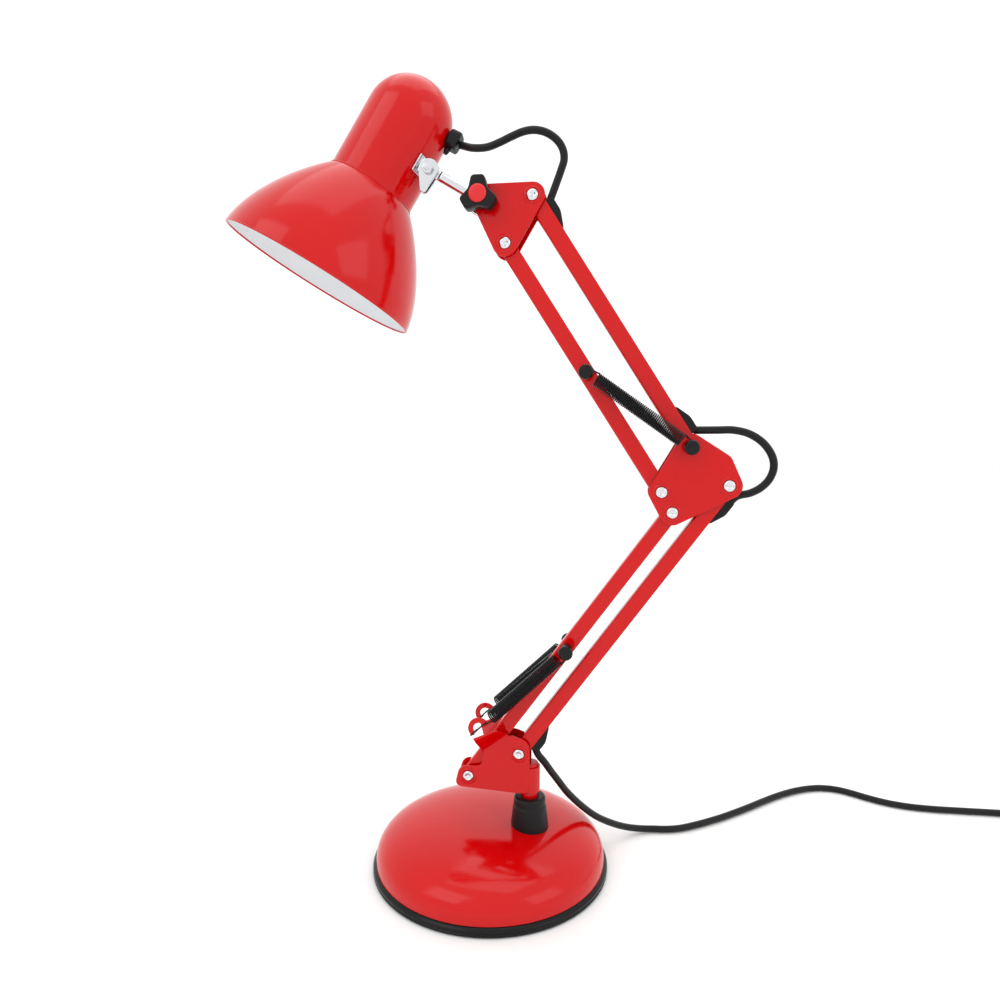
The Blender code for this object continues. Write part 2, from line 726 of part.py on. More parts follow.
def knob_bolt(body):
    """The bolt through the head bracket, with its head behind the rear plate."""
    profile = [(0.0, 10.6), (4.2, 10.3), (6.4, 8.6), (6.4, RIVET_SEAT), (2.4, RIVET_SEAT),
               (2.4, -KNOB_FRONT + 0.4), (0.0, -KNOB_FRONT + 0.4)]
    publish(soften(turned("knob_bolt", profile, world(*KNOB), ALONG_Y)), "zinc_steel", body)


def clamp_washer(name, side, body):
    """One of the two thick washers that grip the stem's eye between the plates."""
    near, far = STEM_EYE_THICKNESS / 2 + 0.3, PLATE_INNER - 0.3
    hole = circle(KNOB, KNOB_HOLE)
    ring = flat_plate(name, circle(KNOB, 8.0, 20), far - near, side * (near + far) / 2, [hole])
    publish(ring, "zinc_steel", body)


def head_stem(body):
    """The chrome rod with a flattened eye at the knob and a smaller one at the head's lug."""
    angle = math.atan2(LUG_BOLT[1] - KNOB[1], LUG_BOLT[0] - KNOB[0])
    length = math.dist(KNOB, LUG_BOLT)
    near, far = STEM_EYE - 1.0, length - LUG_CHEEK - 1.0
    middle = (KNOB[0] + math.cos(angle) * (near + far) / 2, KNOB[1] + math.sin(angle) * (near + far) / 2)
    eye = flat_plate("head_stem", circle(KNOB, STEM_EYE, 24), STEM_EYE_THICKNESS, 0.0)
    rod = cylinder("stem_rod", STEM_RADIUS, far - near, world(*middle), (0.0, math.pi / 2 - angle, 0.0))
    root = (LUG_BOLT[0] - math.cos(angle) * 12.0, LUG_BOLT[1] - math.sin(angle) * 12.0)
    tip = flat_plate("stem_tip", capsule(LUG_BOLT, root, LUG_EYE, STEM_RADIUS), STEM_EYE_THICKNESS, 0.0)
    boolean(eye, cutter(rod), "UNION")
    boolean(eye, cutter(tip), "UNION")
    for index, (spot, hole) in enumerate(((KNOB, KNOB_HOLE), (LUG_BOLT, PIVOT_HOLE))):
        bore = cylinder(f"stem_bore_{index}", hole, 30.0, world(*spot), ALONG_Y)
        boolean(eye, cutter(bore), "DIFFERENCE")
    publish(eye, "chrome", body)


# ---------------------------------------------------------------- head


def head_point(radial, height, offset=0.0):
    """A point of the head's own plane: radial to the right of its axis, height from the mouth."""
    sine, cosine = math.sin(HEAD_TILT), math.cos(HEAD_TILT)
    x = MOUTH[0] + radial * cosine + height * sine
    z = MOUTH[1] - radial * sine + height * cosine
    bolt = world(*LUG_BOLT)
    return bolt + HEAD_LEAN @ (Vector((x * MM, (HEAD_Y + offset) * MM, z * MM)) - bolt)


def on_axis(name, profile, steps=32, closed=False):
    """A turned piece on the head's axis."""
    return soften(turned(name, profile, head_point(0.0, 0.0), HEAD_TURN, steps, closed))


def bell_radius(share):
    """Outer radius of the bell at a share of its height."""
    return NECK_RADIUS + (MOUTH_RADIUS - NECK_RADIUS) * max(0.0, 1 - share ** 1.6) ** 0.95


def shade(body):
    """The spun bell, open at the mouth and at the neck."""
    rows = 8
    profile = [(bell_radius(1 - i / rows), NECK_HEIGHT * (1 - i / rows)) for i in range(rows + 1)]
    bell = on_axis("shade", profile, 36)
    wall = bell.modifiers.new("sheet", "SOLIDIFY")
    wall.thickness = HEAD_SHEET * MM
    wall.offset = -1.0
    publish(bell, "red_enamel", body)


def head_cap(body):
    """The tall cap above the bell, with its round top and the flex hole in its side."""
    rows = 5
    angles = [math.pi / 2 * i / rows for i in range(rows + 1)]
    dome = [(CAP_RADIUS * math.sin(a), CAP_STRAIGHT + CAP_RADIUS * math.cos(a)) for a in angles]
    profile = dome + [(CAP_RADIUS, CAP_STRAIGHT - 22.0), (CAP_RADIUS, NECK_HEIGHT + 0.4)]
    cap = on_axis("head_cap", profile, 30)
    wall = cap.modifiers.new("sheet", "SOLIDIFY")
    wall.thickness = HEAD_SHEET * MM
    wall.offset = -1.0
    hole = cylinder("flex_hole", GROMMET_HOLE, 40.0, head_point(CAP_RADIUS, GROMMET_HEIGHT),
                    (0.0, HEAD_TILT + math.pi / 2, 0.0), sides=20)
    boolean(cap, cutter(hole), "DIFFERENCE")
    publish(cap, "red_enamel", body)


def grommet(body):
    """The block-shaped grommet in the cap's side."""
    neck = GROMMET_HOLE - 0.4
    profile = [(0.0, 9.6), (6.0, 9.6), (7.4, 8.4), (7.4, 1.0), (neck, 1.0), (neck, -3.0), (0.0, -3.0)]
    place = head_point(CAP_RADIUS - 0.6, GROMMET_HEIGHT)
    publish(soften(turned("flex_grommet", profile, place, (0.0, HEAD_TILT + math.pi / 2, 0.0))),
            "black_plastic", body)


def head_lug(body):
    """The chrome lug on the cap: a foot against the cap and two cheeks around the stem's small eye."""
    near, far = STEM_EYE_THICKNESS / 2 + 0.35, STEM_EYE_THICKNESS / 2 + 2.1
    foot = block("head_lug", (4.4, 15.0, 20.0), head_point(29.0, 102.0, -12.0), HEAD_TURN)
    for side in (-1, 1):
        outline = capsule(LUG_BOLT, LUG_TAIL, LUG_CHEEK, 2.6)
        middle = side * (near + far) / 2
        boolean(foot, cutter(flat_plate(f"lug_cheek_{side}", outline, far - near, middle)), "UNION")
        outline = capsule(LUG_BACK, LUG_BOLT, 6.4)
        root = flat_plate(f"lug_root_{side}", outline, far - near - 0.3, middle)
        boolean(foot, cutter(root), "UNION")
    clear = cylinder("lug_clear", CAP_RADIUS + 0.35, 120.0, head_point(0.0, 110.0), HEAD_TURN, sides=40)
    boolean(foot, cutter(clear), "DIFFERENCE")
    swing = cylinder("lug_swing", LUG_EYE + 1.0, 2 * near, world(*LUG_BOLT), ALONG_Y)
    boolean(foot, cutter(swing), "DIFFERENCE")
    bore = cylinder("lug_bore", PIVOT_HOLE, 30.0, world(*LUG_BOLT), ALONG_Y)
    boolean(foot, cutter(bore), "DIFFERENCE")
    publish(foot, "chrome", body)


def lug_bolt(body):
    """The small bolt through the lug, with a six-sided head in front and a nut behind."""
    seat = STEM_EYE_THICKNESS / 2 + 2.1 + 0.35
    shank = cylinder("lug_bolt", SHANK, 2 * seat + 1.0, world(*LUG_BOLT), ALONG_Y, sides=16)
    for side in (-1, 1):
        place = world(*LUG_BOLT, side * (seat + 1.4))
        end = cylinder(f"lug_bolt_head_{side}", 4.2, 2.8, place, ALONG_Y, sides=6)
        boolean(shank, cutter(end), "UNION")
    publish(shank, "chrome", body)


def lampholder(body):
    """The holder in the cap: a cup for the bulb's end with a flange that reaches the cap's wall."""
    top, bottom, radius = HOLDER_TOP, HOLDER_BOTTOM, HOLDER_RADIUS
    profile = [(0.0, top), (radius - 4.0, top), (radius, top - 5.0), (radius, 122.0),
               (CAP_RADIUS - 1.4, 122.0), (CAP_RADIUS - 1.4, 120.0), (radius, 120.0), (radius, bottom),
               (BULB_NECK + 0.6, bottom),
               (BULB_NECK + 0.6, BULB_TOP + 0.6), (0.0, BULB_TOP + 0.6)]
    publish(on_axis("lampholder", profile, 20), "white_enamel", body)


def bulb(body):
    """The opal bulb, with its neck and cap in the holder."""
    dome = [(BULB_RADIUS * math.sin(math.radians(a)), BULB_CENTRE + BULB_RADIUS * math.cos(math.radians(a)))
            for a in range(40, 180, 23)]
    profile = [(0.0, BULB_TOP), (BULB_NECK - 1.0, BULB_TOP), (BULB_NECK, BULB_TOP - 2.0),
               (BULB_NECK, BULB_SHOULDER)]
    profile += dome + [(0.0, BULB_CENTRE - BULB_RADIUS)]
    publish(on_axis("bulb", profile, 20), "opal_glass", body)


# ---------------------------------------------------------------- flex

ELBOW_LOOP = [(176.0, 289.0), (184.5, 291.2), (191.6, 295.2), (197.0, 301.4), (199.4, 309.4),
              (197.6, 317.8), (191.4, 326.2), (182.4, 332.0), (171.8, 334.6), (160.8, 334.6)]
HEAD_LOOP = [(-12.8, 12.4, 535.6), (-2.6, 10.6, 534.8), (6.6, 8.0, 536.4), (16.9, 4.6, 539.2),
             (25.4, 2.0, 541.0), (33.4, 0.6, 541.0), (41.2, 0.0, 538.6), (47.9, 0.0, 534.0),
             (52.3, 0.0, 527.8), (53.6, 0.0, 520.6), (51.4, 0.0, 512.8)]
LEAD_ROUTE = [(38.0, -8.4, 92.2), (42.2, -6.0, 86.0), (46.6, -1.8, 77.6), (51.8, 3.6, 67.8),
              (59.2, 11.0, 54.4), (69.8, 20.8, 39.4), (80.8, 30.4, 26.8), (92.2, 40.2, 17.0),
              (103.8, 49.8, 9.2), (115.6, 57.4, 4.4), (127.0, 61.2, 2.9), (138.6, 62.6, 2.8),
              (150.2, 66.0, 2.8), (162.2, 72.4, 2.8), (174.4, 80.2, 2.8), (187.2, 89.2, 2.8),
              (200.6, 99.8, 2.8), (214.4, 111.4, 2.8), (228.8, 124.0, 2.8), (243.2, 135.8, 2.8),
              (257.6, 145.9, 2.8), (271.6, 153.0, 2.8), (285.2, 156.8, 2.8), (298.2, 156.0, 2.8),
              (309.6, 151.2, 2.8), (321.6, 143.8, 2.8), (335.6, 136.8, 2.8), (352.0, 132.4, 2.8),
              (372.0, 130.8, 2.8), (396.0, 131.2, 2.8), (420.0, 131.9, 2.8)]


def elbow_loop(body):
    """The flex that arches over the elbow, from the lower link's top clip to the upper link's."""
    start = link_frame(A1, A0, FLEX_START, -FLEX_ACROSS)
    end = link_frame(C0, C1, FLEX_START, FLEX_ACROSS)
    route = [(*start,), *ELBOW_LOOP, (*end,)]
    points = smooth_path([(x, ARM_Y, z) for x, z in route], 5.0)
    publish(wire("elbow_flex", points, FLEX_RADIUS), "black_flex", body)


def head_loop(body):
    """The flex that arches from the upper link's top clip to the head's grommet."""
    start = head_point(CAP_RADIUS - 0.6 + 10.8, GROMMET_HEIGHT) / MM
    end = link_frame(C1, C0, FLEX_START, -FLEX_ACROSS)
    route = [tuple(start), *[(x, ARM_Y + y, z) for x, y, z in HEAD_LOOP], (end[0], ARM_Y, end[1])]
    publish(wire("head_flex", smooth_path(route, 5.0), FLEX_RADIUS), "black_flex", body)


def mains_lead(body):
    """The lead from the lower link's bottom clip, down to the table and along it to the switch."""
    start = link_frame(A0, A1, FLEX_START, FLEX_ACROSS)
    route = [(start[0], ARM_Y, start[1]), *LEAD_ROUTE, (SWITCH_START - TUBE_GAP, LEAD_Y, 2.8)]
    publish(wire("mains_lead", smooth_path(route, 11.0), FLEX_RADIUS), "black_flex", body)


def lead_switch(body, rocker_body):
    """The in-line switch on the lead, in two half shells, and its rocker."""
    reach, half = SWITCH_LENGTH / 2, SWITCH_WIDTH / 2
    corners = [(-reach, -half, 9.0), (reach, -half, 9.0), (reach, half, 9.0), (-reach, half, 9.0)]
    outline = rounded(corners)
    place = (SWITCH_X, LEAD_Y)
    publish(slab("switch_base", outline, TABLE_GAP, SWITCH_SPLIT, place), "black_plastic", body)
    cover = slab("switch_cover", outline, SWITCH_SPLIT + 0.3, SWITCH_TOP, place)
    well = block("switch_well", (20.0, 11.0, 12.0), Vector((SWITCH_X, LEAD_Y, ROCKER_FLOOR + 5.4)) * MM)
    boolean(cover, cutter(well), "DIFFERENCE")
    publish(cover, "black_plastic", body)
    profile = [(-8.6, 1.6), (-1.0, 0.0), (8.6, 0.0), (8.6, 3.4), (0.0, 5.4), (-8.6, 7.0)]
    outline = [(SWITCH_X + x, ROCKER_FLOOR + z) for x, z in profile]
    rocker = flat_curve("switch_rocker_outline", outline, 9.6, LEAD_Y - ARM_Y)
    publish(curve_to_mesh(rocker, "switch_rocker"), "black_plastic", rocker_body)


def lead_coil(body):
    """The outer shape of the coiled rest of the lead."""
    inner, outer, edge = COIL_MEAN - COIL_HALF, COIL_MEAN + COIL_HALF, 1.2
    low, top = TABLE_GAP, COIL_TOP
    profile = [(outer - edge, top), (outer, top - edge), (outer, low + edge), (outer - edge, low),
               (inner + edge, low), (inner, low + edge), (inner, top - edge), (inner + edge, top)]
    place = (COIL_CENTRE[0] * MM, COIL_CENTRE[1] * MM, 0.0)
    publish(turned("lead_coil", profile, place, steps=24, closed=True), "black_flex", body)


def lead_ends(body):
    """The two short stretches of lead beside the coil: from the switch, and on to the plug."""
    inside = COIL_MEAN + COIL_PITCH - FLEX_RADIUS
    touch = math.sqrt((COIL_MEAN + COIL_HALF) ** 2 - inside ** 2) + TUBE_GAP
    low = TABLE_GAP + FLEX_RADIUS + 0.3
    start = (SWITCH_START + SWITCH_LENGTH + TUBE_GAP, LEAD_Y, low)
    end = (COIL_CENTRE[0] - touch, LEAD_Y, low)
    publish(wire("lead_to_coil", [Vector(start) * MM, Vector(end) * MM], FLEX_RADIUS), "black_flex", body)
    start = (COIL_CENTRE[0] - touch, PLUG_Y, low)
    end = (PLUG_BACK + TUBE_GAP, PLUG_Y, PLUG_Z)
    route = []
    for share, rise in ((0.0, 0.0), (0.2, 0.04), (0.5, 0.5), (0.8, 0.96), (1.0, 1.0)):
        x = start[0] + (end[0] - start[0]) * share
        route.append((x, PLUG_Y, low + (PLUG_Z - low) * rise))
    publish(wire("lead_to_plug", smooth_path(route, 3.0), FLEX_RADIUS), "black_flex", body)


def plug(body):
    """A slim two-pin plug lying flat on the table, in line with the lead that leaves the coil."""
    length = PLUG_SIZE[0]
    grip = block("plug_body", PLUG_SIZE, Vector((PLUG_BACK - length / 2, PLUG_Y, PLUG_Z)) * MM)
    soft = grip.modifiers.new("soft", "BEVEL")
    soft.width = 0.003
    soft.segments = 2
    publish(grip, "black_plastic", body)
    middle = PLUG_BACK - length - TUBE_GAP - PIN_LENGTH / 2
    for name, side in (("plug_pin_near", -1), ("plug_pin_far", 1)):
        place = Vector((middle, PLUG_Y + side * PIN_SPREAD, PLUG_Z)) * MM
        pin = cylinder(name, PIN_RADIUS, PIN_LENGTH, place, (0.0, math.pi / 2, 0.0), sides=14)
        publish(pin, "chrome", body)


def main():
    """Builds the lamp from the table up."""
    global PARTS, CUTTERS
    clear_scene()
    PARTS = collection("architect_desk_lamp")
    CUTTERS = collection("cutters")
    make_finishes()
    base = pivot("base_body", Vector((0.0, 0.0, 0.0)))
    swivel = pivot("swivel_body", Vector((POST_X * MM, POST_Y * MM, 0.0)), base)
    lower_main = pivot("lower_main_body", world(*A0), swivel)
    lower_second = pivot("lower_second_body", world(*B0), swivel)
    elbow = pivot("elbow_body", world(*A1), lower_main)
    upper_main = pivot("upper_main_body", world(*C0), elbow)
    upper_second = pivot("upper_second_body", world(*D0), elbow)
    bracket = pivot("head_bracket_body", world(*C1), upper_main)
    turning_knob = pivot("knob_body", world(*KNOB), bracket)
    stem = pivot("stem_body", world(*KNOB), bracket)
    head = pivot("head_body", world(*LUG_BOLT), stem)
    rocker_place = Vector((SWITCH_X, LEAD_Y, ROCKER_FLOOR + 4.0)) * MM
    rocker = pivot("rocker_body", rocker_place, base)

    base_shell(base)
    base_ring(base)
    base_pad(base)
    base_ballast(base)
    collar(base)
    post(swivel)
    post_clip(swivel)
    base_bracket(swivel)
    rivet("rivet_base_main", A0, swivel)
    rivet("rivet_base_second", B0, swivel)

    link("lower_link_main", A0, A1, LOWER_WIDTH, lower_main)
    link("lower_link_second", B0, B1, LOWER_WIDTH, lower_second, [LOWER_PEG])
    link("upper_link_main", C0, C1, UPPER_WIDTH, upper_main)
    link("upper_link_second", D0, D1, UPPER_WIDTH, upper_second, [UPPER_PEG])
    flex_clip("clip_lower_bottom", A0, A1, LOWER_WIDTH, 1, lower_main)
    flex_clip("clip_lower_top", A1, A0, LOWER_WIDTH, -1, lower_main)
    flex_clip("clip_upper_bottom", C0, C1, UPPER_WIDTH, 1, upper_main)
    flex_clip("clip_upper_top", C1, C0, UPPER_WIDTH, -1, upper_main)
    link_flex("lower_link_flex", A0, A1, lower_main)
    link_flex("upper_link_flex", C0, C1, upper_main)

    elbow_plate("elbow_plate_front", -1, elbow)
    elbow_plate("elbow_plate_rear", 1, elbow)
    for name, spot in (("rivet_elbow_main", A1), ("rivet_elbow_lower", B1), ("rivet_elbow_upper", D0)):
        rivet(name, spot, elbow)
    peg("elbow_peg", C0, PLATE_OUTER + 0.35, False, elbow)
    peg("lower_peg", LOWER_PEG, LINK_DEPTH / 2 + 0.35, True, lower_second)
    peg("upper_peg", UPPER_PEG, LINK_DEPTH / 2 + 0.35, False, upper_second)
    spring("lower_spring_front", LOWER_PEG, HOOK_CENTRE, -1, False, lower_second)
    spring("lower_spring_rear", LOWER_PEG, HOOK_CENTRE, 1, False, lower_second)
    spring("upper_spring", UPPER_PEG, C0, -1, True, upper_second)

    head_plate("head_plate_front", -1, bracket)
    head_plate("head_plate_rear", 1, bracket)
    rivet("rivet_head_main", C1, bracket)
    rivet("rivet_head_second", D1, bracket)
    knob_bolt(bracket)
    clamp_washer("clamp_washer_front", -1, bracket)
    clamp_washer("clamp_washer_rear", 1, bracket)
    knob(turning_knob)
    head_stem(stem)

    shade(head)
    head_cap(head)
    grommet(head)
    head_lug(head)
    lug_bolt(head)
    lampholder(head)
    bulb(head)

    elbow_loop(elbow)
    head_loop(bracket)
    mains_lead(base)
    lead_switch(base, rocker)
    lead_coil(base)
    lead_ends(base)
    plug(base)


main()
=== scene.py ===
"""Looks of an architect desk lamp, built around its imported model.

Sizes are in millimetres and become metres as each mesh is made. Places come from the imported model's
joints and boxes. +Z is up, +X runs along the arm plane and +Y is behind it.
"""

import json
import logging
import math
from dataclasses import dataclass
from enum import Enum
from typing import ClassVar, Sequence

import bmesh
import bpy
import numpy as np
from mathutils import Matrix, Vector
from numpy.typing import NDArray


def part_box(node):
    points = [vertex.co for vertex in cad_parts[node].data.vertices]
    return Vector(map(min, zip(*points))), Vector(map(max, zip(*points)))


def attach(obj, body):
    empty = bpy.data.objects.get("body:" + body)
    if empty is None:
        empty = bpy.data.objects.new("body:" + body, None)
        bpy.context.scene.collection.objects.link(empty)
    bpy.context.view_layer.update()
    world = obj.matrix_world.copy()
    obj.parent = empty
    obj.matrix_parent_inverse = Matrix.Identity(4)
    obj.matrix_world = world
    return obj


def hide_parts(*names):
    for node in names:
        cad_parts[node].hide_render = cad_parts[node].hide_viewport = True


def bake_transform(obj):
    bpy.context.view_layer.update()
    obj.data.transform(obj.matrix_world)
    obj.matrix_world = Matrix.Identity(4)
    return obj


Array = NDArray[np.float64]
LOG = logging.getLogger("desk_lamp")
MM = 0.001
FULL_TURN = 2.0 * math.pi

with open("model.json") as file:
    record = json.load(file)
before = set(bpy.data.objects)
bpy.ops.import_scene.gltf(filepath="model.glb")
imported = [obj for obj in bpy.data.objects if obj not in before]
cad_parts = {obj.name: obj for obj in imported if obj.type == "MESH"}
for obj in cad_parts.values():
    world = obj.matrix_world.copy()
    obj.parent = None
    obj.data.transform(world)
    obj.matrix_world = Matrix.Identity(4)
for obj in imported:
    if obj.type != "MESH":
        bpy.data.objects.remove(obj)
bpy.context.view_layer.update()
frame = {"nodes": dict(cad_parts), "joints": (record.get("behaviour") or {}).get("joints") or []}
JOINTS = {joint["name"]: joint for joint in frame["joints"]}


def joint_place(name: str) -> Array:
    """Gives a joint's place in the arm plane.

    Args:
        name: The joint's name.

    Returns:
        Its (x, z), in millimetres.
    """
    x, _, z = JOINTS[name]["pos_m"]
    return np.array([x, z]) / MM


ARM_Y = JOINTS["shoulder"]["pos_m"][1] / MM
POST = np.array(JOINTS["swivel"]["pos_m"][:2]) / MM
A0, B0 = joint_place("shoulder"), joint_place("lower_second_pivot")
A1, C0 = joint_place("elbow_level"), joint_place("elbow_bend")
D0, C1 = joint_place("upper_second_pivot"), joint_place("head_level")
B1, D1 = B0 + A1 - A0, D0 + C1 - C0
KNOB, LUG = joint_place("stem_tilt"), joint_place("head_tilt")
FLEX_RADIUS = 2.7
SHEET_INNER, SHEET_OUTER = 6.6, 7.7
LOWER_WIDTH, UPPER_WIDTH = 10.5, 11.5


# ---------------------------------------------------------------- shapes


def on_plane(points: Array, depth: Array | float = 0.0) -> Array:
    """Lifts arm-plane points (x, z) to space, at a depth behind the plane.

    Args:
        points: Array of (..., 2).
        depth: One depth, or an array of one for each point.

    Returns:
        Array of (..., 3).
    """
    y = np.broadcast_to(ARM_Y + np.asarray(depth, float), points.shape[:-1])
    return np.stack([points[..., 0], y, points[..., 1]], -1)


def fillet(corners: Sequence[Sequence[float]], radius: float, steps: int = 5, closed: bool = False) -> Array:
    """Rounds an outline's corners.

    Each corner becomes the parabola (1-t)^2 a + 2t(1-t) corner + t^2 b, where a and b lie on its two edges
    at the smaller of the radius and 0.45 of the edge.

    Args:
        corners: Points of the outline.
        radius: How far along each edge the rounding starts.
        steps: Pieces in each corner.
        closed: Whether the last point joins the first.

    Returns:
        The rounded outline.
    """
    points = np.asarray(corners, float)
    before, after = np.roll(points, 1, 0) - points, np.roll(points, -1, 0) - points
    reach_before = np.linalg.norm(before, axis=1, keepdims=True)
    reach_after = np.linalg.norm(after, axis=1, keepdims=True)
    a = points + before * np.minimum(radius / reach_before, 0.45)
    b = points + after * np.minimum(radius / reach_after, 0.45)
    t = np.linspace(0.0, 1.0, steps + 1)[None, :, None]
    curves = (1 - t) ** 2 * a[:, None] + 2 * t * (1 - t) * points[:, None] + t ** 2 * b[:, None]
    if closed:
        return curves.reshape(-1, points.shape[1])
    return np.concatenate([points[:1], curves[1:-1].reshape(-1, points.shape[1]), points[-1:]])


def arc(centre: Sequence[float], radius: float, start: float, end: float, steps: int) -> Array:
    """Gives points on an arc, with angles in degrees and both ends included."""
    angle = np.radians(np.linspace(start, end, steps + 1))
    return np.asarray(centre) + radius * np.stack([np.cos(angle), np.sin(angle)], -1)


def capsule(start: Array, end: Array, radius: float, end_radius: float, steps: int = 20) -> Array:
    """Gives the outline around two circles, one at each end of a straight line."""
    heading = math.degrees(math.atan2(end[1] - start[1], end[0] - start[0]))
    lean = math.degrees(math.asin((radius - end_radius) / float(np.linalg.norm(end - start))))
    first = arc(start, radius, heading + 90 - lean, heading + 270 + lean, steps)
    return np.concatenate([first, arc(end, end_radius, heading - 90 + lean, heading + 90 - lean, steps)])


def smooth_path(route: Sequence[Sequence[float]], spacing: float) -> Array:
    """Runs a smooth curve through a route and takes evenly spaced points from it.

    Between two route points the curve is the cubic whose slope at each is half the step between its
    neighbours.

    Args:
        route: The route's points.
        spacing: Distance between the points taken.

    Returns:
        Points along the curve, both ends included.
    """
    knots = np.asarray(route, float)
    knots = np.concatenate([[2 * knots[0] - knots[1]], knots, [2 * knots[-1] - knots[-2]]])
    p0, p1, p2, p3 = (knots[i:len(knots) - 3 + i, None] for i in range(4))
    t = (np.arange(24) / 24.0)[None, :, None]
    fine = 0.5 * (2 * p1 + (p2 - p0) * t + (2 * p0 - 5 * p1 + 4 * p2 - p3) * t ** 2
                  + (3 * p1 - p0 - 3 * p2 + p3) * t ** 3)
    fine = np.concatenate([fine.reshape(-1, knots.shape[1]), knots[-2:-1]])
    return resample(fine, spacing)


def resample(points: Array, spacing: float) -> Array:
    """Takes evenly spaced points from a fine line, by its running length."""
    walked = np.concatenate([[0.0], np.cumsum(np.linalg.norm(np.diff(points, axis=0), axis=1))])
    stops = np.linspace(0.0, walked[-1], max(3, round(walked[-1] / spacing) + 1))
    return np.stack([np.interp(stops, walked, points[:, axis]) for axis in range(points.shape[1])], -1)


def path_frames(path: Array) -> tuple[Array, Array]:
    """Carries two sideways directions along a path without twisting them about it.

    Args:
        path: Points of (n, 3).

    Returns:
        Two arrays of (n, 3), square to the path and to each other.
    """
    tangent = np.gradient(path, axis=0)
    tangent /= np.linalg.norm(tangent, axis=1, keepdims=True)
    first = np.cross(tangent[0], [0.0, 1.0, 0.0] if abs(tangent[0][1]) < 0.8 else [1.0, 0.0, 0.0])
    side = [first / np.linalg.norm(first)]
    for heading in tangent[1:]:
        carried = side[-1] - heading * side[-1].dot(heading)
        side.append(carried / np.linalg.norm(carried))
    sides = np.array(side)
    return sides, np.cross(tangent, sides)


def tube(path: Array, radius: Array | float, around: int = 20) -> Array:
    """Sweeps a circle along a path: point = path + radius (cos a side + sin a up), with closed ends."""
    side, up = path_frames(path)
    angle = np.linspace(0.0, FULL_TURN, around + 1)[None, :, None]
    reach = np.broadcast_to(np.asarray(radius, float), len(path))[:, None, None]
    rings = path[:, None] + reach * (np.cos(angle) * side[:, None] + np.sin(angle) * up[:, None])
    ends = [np.repeat(path[i][None, None], around + 1, 1) for i in (0, -1)]
    return np.concatenate([ends[0], rings, ends[1]])


def revolve(profile: Array, origin: Sequence[float], axis: Sequence[float], around: int = 64) -> Array:
    """Spins a profile: point = origin + height axis + radius (cos a first + sin a second).

    Args:
        profile: Points of (radius, height).
        origin: Where the height is zero.
        axis: The direction of the height.
        around: Steps in a full turn.

    Returns:
        A grid of (profile, around + 1, 3).
    """
    up = np.asarray(axis, float) / np.linalg.norm(axis)
    first = np.cross(up, [0.0, 0.0, 1.0] if abs(up[2]) < 0.9 else [0.0, 1.0, 0.0])
    first /= np.linalg.norm(first)
    second = np.cross(up, first)
    angle = np.linspace(0.0, FULL_TURN, around + 1)[None, :, None]
    spoke = np.cos(angle) * first + np.sin(angle) * second
    return np.asarray(origin) + profile[:, 1, None, None] * up + profile[:, 0, None, None] * spoke


def closed_loop(profile: Array) -> Array:
    """Repeats a profile's first point at its end."""
    return np.concatenate([profile, profile[:1]])


def plate(outline: Array, centre: Sequence[float], low: float, high: float, edge: float) -> Array:
    """Makes a flat plate with rounded edges, as rings from the middle of one face to that of the other.

    The rings are the outline moved inwards by edge (1 - cos a) at a depth of edge sin a from each face.

    Args:
        outline: The plate's closed outline, (x, z).
        centre: A point that sees the whole outline.
        low: Depth of the front face behind the arm plane.
        high: Depth of the rear face.
        edge: Radius of the edges.

    Returns:
        A grid of (rings, outline + 1, 3).
    """
    along = np.roll(outline, -1, 0) - np.roll(outline, 1, 0)
    along /= np.linalg.norm(along, axis=1, keepdims=True)
    inward = np.stack([-along[:, 1], along[:, 0]], -1)
    turn = np.sum(outline[:, 0] * np.roll(outline[:, 1], -1) - outline[:, 1] * np.roll(outline[:, 0], -1))
    inward *= np.sign(turn)
    angle = np.linspace(-math.pi / 2, math.pi / 2, 9)
    inset = np.concatenate([[edge + 0.3], edge * (1 - np.cos(angle)), [edge + 0.3]])
    half = (high - low) / 2
    straight = np.sign(angle) * (half - edge)
    depths = (low + high) / 2 + np.concatenate([[-half], edge * np.sin(angle) + straight, [half]])
    rings = on_plane(outline + inset[:, None, None] * inward, depths[:, None])
    middle = np.asarray(centre, float)[None]
    poles = [np.repeat(on_plane(middle, depth)[None], len(outline), 1) for depth in (low, high)]
    grid = np.concatenate([poles[0], rings, poles[1]])
    return np.concatenate([grid, grid[:, :1]], 1)


